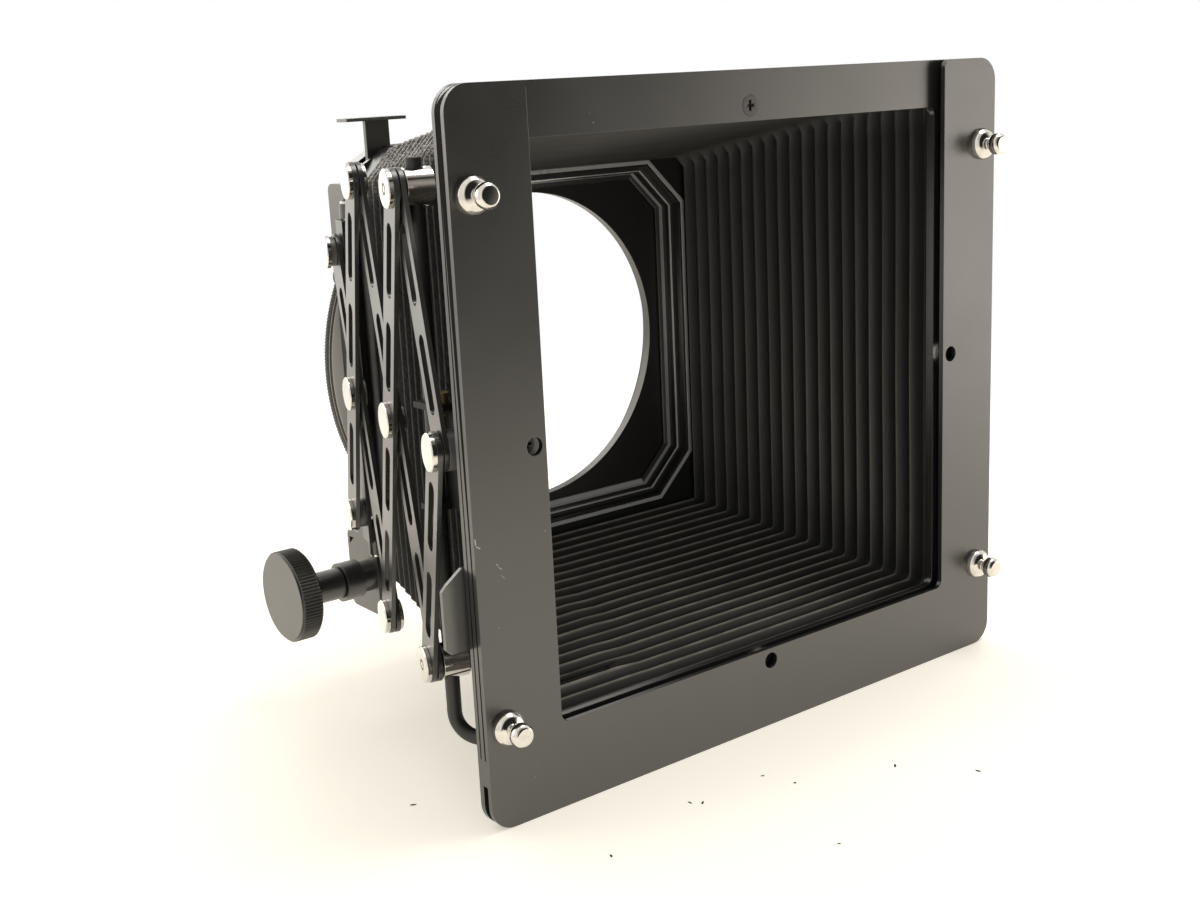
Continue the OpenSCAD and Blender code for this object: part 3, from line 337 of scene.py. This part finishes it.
# Painted highlight: a large wear_and_highlight paints the tab's edges pale, where its top plate
# catches the light
TAB = painted("tab_black", 0.018, 0.03, 0.3, ior=2.0, wear_and_highlight=2.0)
CHIP = painted("chipped_metal", 0.32, 0.5, 0.4, ior=1.6, wear_and_highlight=0.0)
NODE_LOOKS = {
    "pivot_bracket": MATT,
    "filter_holder": LOOKS["deep_black"],
    "filter_tab": TAB,
    "guide_rod": DULL,
    "knob_shaft": MATT,
    "side_clip": CLIP,
}


def dress_nodes():
    """Each CAD node gets a look of its own, or else the look of its material slot."""
    for name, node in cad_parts.items():
        for held in node.material_slots:
            slot_name = held.material.name.split(".")[0]
            held.material = NODE_LOOKS.get(name, LOOKS[slot_name])


# Pieces
MERGE_DISTANCE = 1e-7


def new_piece(name, points, faces, materials, sharp=None, values=None):
    """A mesh piece from points in millimetres, shaded smooth up to the angle sharp, or flat.

    values holds lists of one number for each point, which a look can read by name.
    """
    mesh = bpy.data.meshes.new(name)
    mesh.from_pydata([tuple(c * MM for c in p) for p in points], [], faces)
    mesh.validate()
    for key, held in (values or {}).items():
        mesh.attributes.new(key, "FLOAT", "POINT").data.foreach_set("value", held)
    for material in materials:
        mesh.materials.append(material)
    made = bmesh.new()
    made.from_mesh(mesh)
    bmesh.ops.remove_doubles(made, verts=made.verts, dist=MERGE_DISTANCE)
    bmesh.ops.recalc_face_normals(made, faces=made.faces)
    made.to_mesh(mesh)
    made.free()
    if sharp:
        mesh.shade_smooth()
        mesh.set_sharp_from_angle(angle=math.radians(sharp))
    piece = bpy.data.objects.new(name, mesh)
    bpy.context.scene.collection.objects.link(piece)
    return piece


def band(a, b, count):
    """Faces between two rings of count points each, which start at a and at b."""
    return [(a + j, a + (j + 1) % count, b + (j + 1) % count, b + j) for j in range(count)]


def lathe(profile, steps, reach=None):
    """Points and faces of a profile of (radius, y) turned round the Y axis.

    reach(k, radius) may change a radius at step k.
    """
    points = []
    for k in range(steps):
        angle = 2 * math.pi * k / steps
        for radius, y in profile:
            r = reach(k, radius) if reach else radius
            points.append((r * math.cos(angle), y, r * math.sin(angle)))
    n = len(profile)
    faces = [
        (k * n + i, k * n + i + 1, (k + 1) % steps * n + i + 1, (k + 1) % steps * n + i)
        for k in range(steps) for i in range(n - 1)
    ]
    return points, faces


MOST_CUT = 0.45


def rounded_profile(corners, radius, steps):
    """A profile with each corner but the two end points rounded by a short curve.

    The curve starts and ends radius away from the corner, or nearer on a short side.
    """
    made = []
    last = len(corners) - 1
    for i, corner in enumerate(corners):
        here = Vector(corner)
        if i in (0, last):
            made.append(tuple(here))
            continue
        before = Vector(corners[i - 1]) - here
        after = Vector(corners[i + 1]) - here
        cut = min(radius, before.length * MOST_CUT, after.length * MOST_CUT)
        a = here + before.normalized() * cut
        b = here + after.normalized() * cut
        for s in range(steps + 1):
            t = s / steps
            made.append(tuple(a * (1 - t) ** 2 + here * 2 * t * (1 - t) + b * t ** 2))
    return made


def octagon(half_w, half_h, low_cut, high_cut):
    """Corners of a rectangle with cut corners, from the bottom left one, as (x, z)."""
    return [
        (-half_w + low_cut, -half_h), (half_w - low_cut, -half_h),
        (half_w, -half_h + low_cut), (half_w, half_h - high_cut),
        (half_w - high_cut, half_h), (-half_w + high_cut, half_h),
        (-half_w, half_h - high_cut), (-half_w, -half_h + low_cut),
    ]


def between(ends, share):
    return ends[0] + (ends[1] - ends[0]) * share


def smooth_step(low, high, value):
    t = min(1.0, max(0.0, (value - low) / (high - low)))
    return t * t * (3 - 2 * t)


def blur(x, y, z, scale, seed):
    """Smooth noise over places in millimetres."""
    return noise.noise(Vector((x / scale + seed, y / scale, z / scale)))


# Bellows: a pleated tube with its covering outside and its lining inside.
# Pairs of sizes are (front, rear), in millimetres.
PLEATS = 20
OUTER_HALF_W = (66.0, 51.1)
OUTER_HALF_H = (67.1, 55.8)
INNER_HALF_W = (63.0, 49.0)
INNER_HALF_H = (63.1, 50.9)
TOP_CUT = (6.0, 8.5)
TOP_INNER_CUT = (0.5, 2.8)
BOTTOM_CUT = (5.0, 4.0)
BOTTOM_INNER_CUT = (0.5, 0.5)
SKIN = 0.6
FOLD_BEND = 0.994
FOLD_STEPS = 12
SIDE_STEPS = 18
CORNER_STEPS = 2

# Loose folds, held over this share of the length at each end. A sway is (size, scale, seed).
# The lining droops along its top, most on the inner ridges at the rear.
HELD_SHARE = 0.04
SWAY_ALONG = (0.5, 45.0, 3.1)
SWAY_OUT = (0.3, 30.0, 9.7)
LINING_SWAY = 0.5
LINING_DROOP = 3.2
RIDGE_BULGE = 0.45
FOLD_LOOSE = 0.12

# The lining's glued seam across the bottom pleats
SEAM_X = (-34.0, -8.0)
SEAM_HALF_W = 0.6
SEAM_STEP = 0.35
SEAM_LOOSE = 0.5

# The rear flange's inner edge: half width, half height and corner cut, and how far it lies
# in front of the bellows' end
REAR_FLANGE = (48.8, 47.0, 10.4)
FLANGE_GAP = 0.03

# Painted shade: the tone of the lining's ridges darkens towards the top, by up to this share
# between these heights
RIDGE_FADE = 0.13
FADE_Z = (-20.0, 60.0)

# Sides of a ring are numbered round from the bottom, with a cut corner after each
BOTTOM, RIGHT, TOP, LEFT = 0, 2, 4, 6
TOP_AND_CORNERS = (3, 4, 5)

fold_random = random.Random(41)
SEAM_SHIFT = [fold_random.uniform(-SEAM_LOOSE, SEAM_LOOSE) for _ in range(PLEATS + 1)]
FOLD_SHIFT = [fold_random.uniform(-FOLD_LOOSE, FOLD_LOOSE) for _ in range(PLEATS + 1)]


def fold_height(phase):
    """0 on the outer ridge and 1 on the inner one, with rounded folds."""
    wave = math.asin(FOLD_BEND * math.cos(2 * math.pi * phase))
    return 0.5 - 0.5 * wave / math.asin(FOLD_BEND)


def outward(side):
    """Which way a side or a cut corner of a ring faces, as (x, z)."""
    out_x = 0.0 if side in (BOTTOM, TOP) else 1.0 if side < TOP else -1.0
    out_z = 0.0 if side in (RIGHT, LEFT) else 1.0 if RIGHT < side < LEFT else -1.0
    return out_x, out_z


def loop_marks(half_w, half_h, low_cut, high_cut):
    """Marks round one ring, as (x, z, side, share along the side)."""
    corners = octagon(half_w, half_h, low_cut, high_cut)
    marks = []
    for side, a in enumerate(corners):
        b = corners[(side + 1) % len(corners)]
        steps = SIDE_STEPS if side % 2 == 0 else CORNER_STEPS
        for s in range(steps):
            t = s / steps
            marks.append((between((a[0], b[0]), t), between((a[1], b[1]), t), side, t))
    return marks


def bellows_skin(inset, inner):
    """Rings of points of one skin, front to rear, with their fold and how much painted light
    their side takes.
    """
    rings = []
    folds = []
    lit = []
    # Sides painted paler as if lit: the top and its upper corners outside, the bottom inside
    lit_sides = (BOTTOM,) if inner else TOP_AND_CORNERS
    sway = LINING_SWAY if inner else 1.0
    count = PLEATS * FOLD_STEPS
    for i in range(count + 1):
        share = i / count
        pleat = share * PLEATS
        nearest = int(pleat + 0.5)
        deep = fold_height(pleat)
        half_w, half_h, low_cut, high_cut = (
            between((between(outer, share), between(deeper, share)), deep)
            for outer, deeper in (
                (OUTER_HALF_W, INNER_HALF_W), (OUTER_HALF_H, INNER_HALF_H),
                (BOTTOM_CUT, BOTTOM_INNER_CUT), (TOP_CUT, TOP_INNER_CUT),
            )
        )
        y = between((BELLOWS_FRONT_Y, BELLOWS_REAR_Y), share)
        free = smooth_step(0.0, HELD_SHARE, share) * smooth_step(1.0, 1.0 - HELD_SHARE, share)
        ring = []
        for x, z, side, t in loop_marks(half_w - inset, half_h - inset, low_cut, high_cut):
            along, out = (size * blur(x, y, z, scale, seed)
                          for size, scale, seed in (SWAY_ALONG, SWAY_OUT))
            bulge = RIDGE_BULGE * 4 * t * (1 - t) * (1 - deep) if side % 2 == 0 else 0.0
            y_off = sway * free * (along + FOLD_SHIFT[nearest])
            in_off = free * (sway * out - bulge)
            if inner and side == BOTTOM:
                past = smooth_step(-SEAM_HALF_W, SEAM_HALF_W, x - between(SEAM_X, share))
                in_off += SEAM_STEP * (1 - past) * free
                y_off += SEAM_SHIFT[nearest] * (1 - past) * free
            out_x, out_z = outward(side)
            if inner and out_z > 0:
                z -= LINING_DROOP * deep * share
            ring.append((x - out_x * in_off, y + y_off, z - out_z * in_off))
            fade = RIDGE_FADE * smooth_step(*FADE_Z, z) if inner else 0.0
            folds.append(deep * (1 - fade))
            shared = side - 1 in lit_sides and t == 0
            lit.append(1.0 if side in lit_sides else 0.5 if shared else 0.0)
        rings.append(ring)
    return rings, folds, lit


def make_bellows():
    outer, outer_folds, outer_lit = bellows_skin(0.0, False)
    inner, inner_folds, inner_lit = bellows_skin(SKIN, True)
    across = len(outer[0])
    rows = len(outer)
    points = [p for ring in outer + inner for p in ring]
    width, height, cut = REAR_FLANGE
    points += [(x, BELLOWS_REAR_Y - FLANGE_GAP, z + OPENING_Z)
               for x, z, _, _ in loop_marks(width, height, cut, cut)]
    first_inner, last_inner = rows * across, (2 * rows - 1) * across
    last_outer, flange = (rows - 1) * across, 2 * rows * across
    faces = []
    for i in range(rows - 1):
        faces += band(i * across, (i + 1) * across, across)
    outside = len(faces)
    for i in range(rows, 2 * rows - 1):
        faces += band((i + 1) * across, i * across, across)
    inside = len(faces)
    faces += band(first_inner, 0, across)
    faces += band(last_outer, last_inner, across)
    faces += band(last_inner, flange, across)
    values = {
        "fold": outer_folds + inner_folds + [0.0] * across,
        "lit": outer_lit + inner_lit + [0.0] * across,
    }
    piece = new_piece("pleated_bellows", points, faces, [LOOKS["leatherette"], LINING],
                      sharp=75.0, values=values)
    for k, face in enumerate(piece.data.polygons):
        face.material_index = 0 if k < outside or inside <= k < inside + across else 1
    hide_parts("bellows")
    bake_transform(piece)


# Mount ring: a turned ring, as (radius, y), with teeth cut into it outside a radius
RING_TEETH = 420
RING_TOOTH = 0.5
RING_TOOTH_R = 56.8
RING_ROUND = 0.16
RING_PROFILE = [
    (47.0, -1.4), (47.0, -7.05), (48.5, -7.05), (48.5, -2.7), (55.9, -2.7), (56.5, -2.3),
    (57.1, -2.2), (57.1, -0.5), (56.6, -0.4), (56.0, 0.0), (49.4, 0.0), (49.0, -0.35),
    (48.0, -0.35), (47.6, 0.0), (47.0, 0.0), (47.0, -1.4),
]
# A face whose normal has less y than this looks forward and takes the pale turned look, a painted
# highlight
FORWARD_Y = -0.9


def make_mount_ring():
    def tooth(k, radius):
        return radius - (RING_TOOTH if k % 2 and radius > RING_TOOTH_R else 0.0)

    profile = rounded_profile(RING_PROFILE, RING_ROUND, steps=2)
    points, faces = lathe(profile, 2 * RING_TEETH, tooth)
    piece = new_piece("knurled_ring", points, faces, [TURNED, TURNED_HIGHLIGHT], sharp=35.0)
    for face in piece.data.polygons:
        face.material_index = 1 if face.normal.y < FORWARD_Y else 0
    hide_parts("mount_ring")
    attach(piece, "mount_ring")


# Mask studs: a rounded head, a thin neck and a domed foot, as (radius, y from the plate)
STUD_PLACES = [(x, z) for x in (-74.0, 74.0) for z in (49.7, -57.7)]
STUD_ROUND = 0.28
STUD_SIDES = 48
STUD_PROFILE = [
    (0.0, -6.5), (1.9, -6.5), (2.5, -5.8), (2.6, -5.0), (2.4, -3.9), (1.9, -3.5),
    (1.45, -3.4), (1.45, -2.75), (1.9, -2.55), (3.0, -2.0), (3.65, -1.1), (3.75, -0.2),
    (3.75, 0.0),
    (1.5, 0.0), (1.5, 4.2), (2.5, 4.2), (2.3, 4.8), (0.0, 4.8),
]


def make_studs():
    stud, joined = lathe(rounded_profile(STUD_PROFILE, STUD_ROUND, steps=4), STUD_SIDES)
    points = []
    faces = []
    for at_x, at_z in STUD_PLACES:
        faces += [tuple(k + len(points) for k in face) for face in joined]
        points += [(at_x + x, PLATE_FRONT_Y + y, at_z + z) for x, y, z in stud]
    piece = new_piece("domed_studs", points, faces, [LOOKS["chrome"]], sharp=50.0)
    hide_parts("mask_studs")
    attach(piece, "front_standard")


# Stepped lip inside the rear window with a bead round it, as (outward, y, painted highlight)
LEDGE_Y = -10.6
LIP_STEPS = [
    (0.0, -14.1, False), (-1.2, -14.1, True), (-1.5, -13.7, False), (-1.5, -12.2, False),
    (-2.0, -11.6, True), (-2.3, LEDGE_Y, False), (-3.7, -10.34, False), (0.0, -10.34, False),
    (0.0, -14.1, False),
]
LIP_BEAD = [
    (0.5, -16.62, True), (0.62, -16.85, True), (1.55, -16.85, True), (1.75, -16.62, False),
    (0.5, -16.62, False),
]
WINDOW_HALF_W, WINDOW_HALF_H, WINDOW_CUT = 48.2, 46.4, 11.0
CUT_GROWTH = 2 - math.sqrt(2)


def make_window_lip():
    points = []
    faces = []
    shades = []
    for steps in (LIP_STEPS, LIP_BEAD):
        start = len(points)
        for out, y, _ in steps:
            cut = WINDOW_CUT + CUT_GROWTH * out
            corners = octagon(WINDOW_HALF_W + out, WINDOW_HALF_H + out, cut, cut)
            points += [(x, y, z + OPENING_Z) for x, z in corners]
        sides = len(corners)
        for i, (_, y, painted_bright) in enumerate(steps[:-1]):
            faces += band(start + i * sides, start + (i + 1) * sides, sides)
            # Faces marked painted_bright, and the bottom side of the ledge, which faces up, take
            # the painted highlight
            shades += [painted_bright or y == LEDGE_Y and side == 0 for side in range(sides)]
    piece = new_piece("window_lip", points, faces, [LIP, LIP_HIGHLIGHT])
    for face, painted_bright in zip(piece.data.polygons, shades):
        face.material_index = 1 if painted_bright else 0
    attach(piece, "rear_standard")


# Dark joints between the front plates, along their left edge: (y, width low, width high)
JOINTS = [(-99.3, 0.3, 1.5), (-97.7, 0.22, 0.3)]
JOINT_LOW_Z = -64.0
JOINT_PROUD = 0.03
JOINT_DEEP = 0.3
JOINT_LEAST_W = 0.05
JOINT_RAGGED = (0.04, 9.0, 2.7)
JOINT_WIDENS_Z = (-30.0, 62.0)
JOINT_RUNS_OUT = (0.2, 1.0)
EDGE_ROWS = 80
CORNER_ROWS = 12
CORNER_TURN = math.radians(78)


def edge_route():
    """Points up the plate's left edge and round its top corner: (x, z, outward x, outward z)."""
    high = PLATE_TOP - PLATE_CORNER_R
    route = [(-PLATE_HALF_W, between((JOINT_LOW_Z, high), k / EDGE_ROWS), -1.0, 0.0)
             for k in range(EDGE_ROWS)]
    for k in range(CORNER_ROWS + 1):
        angle = math.pi - CORNER_TURN * k / CORNER_ROWS
        out_x, out_z = math.cos(angle), math.sin(angle)
        route.append((PLATE_CORNER_R - PLATE_HALF_W + PLATE_CORNER_R * out_x,
                      high + PLATE_CORNER_R * out_z, out_x, out_z))
    return route


def make_joint_lines():
    points = []
    faces = []
    route = edge_route()
    last = len(route) - 1
    ragged, scale, seed = JOINT_RAGGED
    for y, narrow, wide in JOINTS:
        start = len(points)
        for x, z, out_x, out_z in route:
            width = between((narrow, wide), smooth_step(*JOINT_WIDENS_Z, z))
            back = y + JOINT_LEAST_W + width * (1 - smooth_step(*JOINT_RUNS_OUT, out_z))
            back += ragged * blur(y, 0.0, z, scale, seed)
            deep_x, deep_z = x - out_x * JOINT_DEEP, z - out_z * JOINT_DEEP
            proud_x, proud_z = x + out_x * JOINT_PROUD, z + out_z * JOINT_PROUD
            points += [
                (deep_x, y, deep_z), (proud_x, y, proud_z),
                (proud_x, back, proud_z), (deep_x, back, deep_z),
            ]
        for k in range(last):
            faces += band(start + 4 * k, start + 4 * (k + 1), 4)
        faces += [tuple(start + 4 * k + j for j in range(4)) for k in (0, last)]
    piece = new_piece("joint_lines", points, faces, [GROOVE])
    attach(piece, "front_standard")


# Small nicks in the paint, as (x, z, length, width, turn in degrees)
NICKS = [
    (-73.9, -22.9, 1.0, 0.12, -50.0), (-73.2, -23.8, 1.2, 0.18, -42.0),
    (-72.7, -25.7, 1.3, 0.1, -48.0), (-78.6, -17.2, 1.6, 0.3, 95.0),
    (-78.0, -18.4, 1.5, 0.25, -35.0), (-61.9, -18.5, 0.4, 0.15, 20.0),
    (-44.7, 61.3, 0.3, 0.2, 0.0), (-74.4, -36.0, 0.5, 0.1, 70.0),
]
NICK_POINTS = 12
NICK_RAGGED = 0.3
NICK_PROUD = 0.012


def make_nicks():
    shade = random.Random(5)
    points = []
    for x, z, length, width, turn in NICKS:
        along = Vector((math.cos(math.radians(turn)), 0, math.sin(math.radians(turn))))
        across = Vector((-along.z, 0, along.x))
        middle = Vector((x, PLATE_FRONT_Y - NICK_PROUD, z))
        for k in range(NICK_POINTS):
            angle = 2 * math.pi * k / NICK_POINTS
            reach = 1 + shade.uniform(-NICK_RAGGED, NICK_RAGGED)
            points.append(tuple(middle + along * (length / 2 * math.cos(angle) * reach)
                                + across * (width / 2 * math.sin(angle) * reach)))
    faces = [tuple(range(start, start + NICK_POINTS))
             for start in range(0, len(points), NICK_POINTS)]
    piece = new_piece("paint_nicks", points, faces, [CHIP])
    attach(piece, "front_standard")


# Specks of dust on the floor, as (x, y, length)
SPECKS = [
    (-38.4, -119.1, 1.6), (3.9, -134.9, 2.0), (14.9, -148.7, 1.6), (-84.5, -77.3, 1.8),
    (-40.4, -117.2, 1.3), (-20.5, -118.6, 1.2), (-17.8, -125.8, 1.1), (-66.6, -123.5, 1.2),
    (-30.2, -150.5, 0.9),
]
SPECK_POINTS = 7
SPECK_HALF_W = 0.28
SPECK_LIFT = 0.06
LENGTH_RANGE = (0.7, 1.2)
WIDTH_RANGE = (0.6, 1.3)


def make_specks():
    shade = random.Random(8)
    points = []
    for x, y, length in SPECKS:
        turn = shade.uniform(0, math.pi)
        for k in range(SPECK_POINTS):
            angle = 2 * math.pi * k / SPECK_POINTS
            along = length / 2 * math.cos(angle) * shade.uniform(*LENGTH_RANGE)
            across = SPECK_HALF_W * math.sin(angle) * shade.uniform(*WIDTH_RANGE)
            points.append((x + along * math.cos(turn) - across * math.sin(turn),
                           y + along * math.sin(turn) + across * math.cos(turn),
                           FLOOR_Z + SPECK_LIFT))
    faces = [tuple(range(start, start + SPECK_POINTS))
             for start in range(0, len(points), SPECK_POINTS)]
    new_piece("floor_specks", points, faces, [GROOVE])


# The photograph's camera: its place in metres, the way it looks and its upward side
CAMERA_AT = (-0.2291, -0.3413, 0.0699)
CAMERA_TOWARD = (0.5857, 0.7745, -0.2392)
CAMERA_UP = (0.183, 0.1611, 0.9698)
CAMERA_LENS = 45.36
CAMERA_SENSOR_W = 36.0
CAMERA_NEAREST = 0.01


def make_camera():
    data = bpy.data.cameras.new("camera")
    data.lens = CAMERA_LENS
    data.sensor_width = CAMERA_SENSOR_W
    data.clip_start = CAMERA_NEAREST
    camera = bpy.data.objects.new("camera", data)
    bpy.context.scene.collection.objects.link(camera)
    back = -Vector(CAMERA_TOWARD).normalized()
    right = Vector(CAMERA_UP).cross(back).normalized()
    turn = Matrix((right, back.cross(right), back)).transposed().to_4x4()
    camera.matrix_world = Matrix.Translation(CAMERA_AT) @ turn
    bpy.context.scene.camera = camera


# Soft panel lamps, as (name, place, aim, size, own brightness, colour), in metres
LAMPS = [
    ("overhead", (0.26, -0.12, 0.72), (0.0, -0.06, 0.0), (0.4, 0.4), 5.9, (1.0, 0.98, 0.95)),
    ("left_panel", (-0.46, 0.40, 0.20), (0.0, -0.05, 0.0), (0.6, 0.4), 1.5, (1.0, 0.95, 0.86)),
    ("rear_panel", (-0.05, 0.75, 0.10), (-0.06, -0.03, 0.0), (0.8, 0.45), 0.8,
     (1.0, 0.94, 0.86)),
    ("rear_top", (-0.04, 0.60, 0.36), (0.0, -0.05, 0.03), (0.4, 0.3), 3.0, (1.0, 0.98, 0.95)),
    ("right_panel", (0.62, -0.42, -0.06), (0.03, -0.1, 0.0), (0.46, 0.4), 1.9,
     (1.0, 0.93, 0.84)),
]


def make_lamp(name, place, aim, size, brightness, colour):
    data = bpy.data.lights.new(name, "AREA")
    data.shape = "RECTANGLE"
    data.size, data.size_y = size
    data.energy = brightness * math.pi * size[0] * size[1]
    data.color = colour
    lamp = bpy.data.objects.new(name, data)
    lamp.location = place
    lamp.rotation_euler = (Vector(aim) - Vector(place)).to_track_quat("-Z", "Y").to_euler()
    lamp.visible_camera = False
    bpy.context.scene.collection.objects.link(lamp)


# World: the direction of the dark side, and the range over which metal sees it darken
WHITE = (1.0, 1.0, 1.0, 1.0)
DARK_TOWARD = (0.05, -0.95, 0.25)
DARK_RANGE = (0.45, 0.85)
DARK_LEVEL = 0.02
MIRRORED_COLOUR = (1.0, 0.97, 0.92, 1.0)
FILL_COLOUR = (1.0, 0.985, 0.96, 1.0)
FILL_LEVEL = 0.55


def make_world():
    """White to the camera; metal also sees the dark room on the photographer's side."""
    world = bpy.data.worlds.new("studio")
    bpy.context.scene.world = world
    world.use_nodes = True
    tree = Tree(world.node_tree)
    tree.nodes.clear()

    def background(colour, strength=1.0):
        return tree.node("ShaderNodeBackground", {
            "Color": colour, "Strength": strength,
        }).outputs[0]

    path = tree.node("ShaderNodeLightPath").outputs
    direction = tree.node("ShaderNodeTexCoord").outputs["Generated"]
    toward = tree.node("ShaderNodeVectorMath", {
        0: direction, 1: Vector(DARK_TOWARD).normalized(),
    }, operation="DOT_PRODUCT").outputs["Value"]
    shade = tree.levels(toward, *DARK_RANGE, to_low=1.0, to_high=DARK_LEVEL,
                        kind="SMOOTHSTEP")
    sharp = tree.math("MAXIMUM", path["Is Glossy Ray"], path["Is Transmission Ray"])
    unseen = tree.mix_shaders(sharp, background(FILL_COLOUR, FILL_LEVEL),
                              background(MIRRORED_COLOUR, shade))
    both = tree.mix_shaders(path["Is Camera Ray"], unseen, background(WHITE))
    tree.node("ShaderNodeOutputWorld", {"Surface": both})


# Floor: a disc that fades into the white world, in metres
FLOOR_R = 0.62
FLOOR_SIDES = 96
FLOOR_MIDDLE_Y = -0.08
FLOOR_FADE = (0.2, 0.58)
FLOOR_DARK = (0.91, 0.86, 0.77, 1.0)
FLOOR_LIGHT = (0.95, 0.91, 0.82, 1.0)
GLOW_COLOUR = (1.0, 0.95, 0.84, 1.0)
GLOW_STRENGTH = 0.385


def floor_look():
    """Warm pale paper with a faint glow, see-through towards its rim."""
    look = Look("floor", {"Roughness": 0.6, "Specular IOR Level": 0.25})
    look.set(Base_Color=look.mix(look.grain(9.0, detail=3.0), FLOOR_DARK, FLOOR_LIGHT))
    length = look.node("ShaderNodeVectorMath", {0: look.place}, operation="LENGTH")
    gone = look.levels(length.outputs["Value"], *FLOOR_FADE)
    clear = look.node("ShaderNodeBsdfTransparent").outputs[0]
    glow = look.node("ShaderNodeEmission", {
        "Color": GLOW_COLOUR, "Strength": GLOW_STRENGTH,
    }).outputs[0]
    lit = look.node("ShaderNodeAddShader", {0: look.shader.outputs[0], 1: glow}).outputs[0]
    look.feed(look.mix_shaders(gone, lit, clear), look.nodes["Material Output"].inputs["Surface"])
    return look.material


def make_floor():
    mesh = bpy.data.meshes.new("floor")
    made = bmesh.new()
    bmesh.ops.create_circle(made, cap_ends=True, radius=FLOOR_R, segments=FLOOR_SIDES)
    made.to_mesh(mesh)
    made.free()
    mesh.materials.append(floor_look())
    floor = bpy.data.objects.new("floor", mesh)
    floor.location = (0.0, FLOOR_MIDDLE_Y, (FLOOR_Z - FLOOR_DROP) * MM)
    bpy.context.scene.collection.objects.link(floor)


make_camera()
make_world()
make_floor()
for lamp_row in LAMPS:
    make_lamp(*lamp_row)
dress_nodes()
make_bellows()
make_mount_ring()
make_studs()
make_window_lip()
make_joint_lines()
make_nicks()
make_specks()

bpy.context.scene.view_settings.view_transform = "Standard"
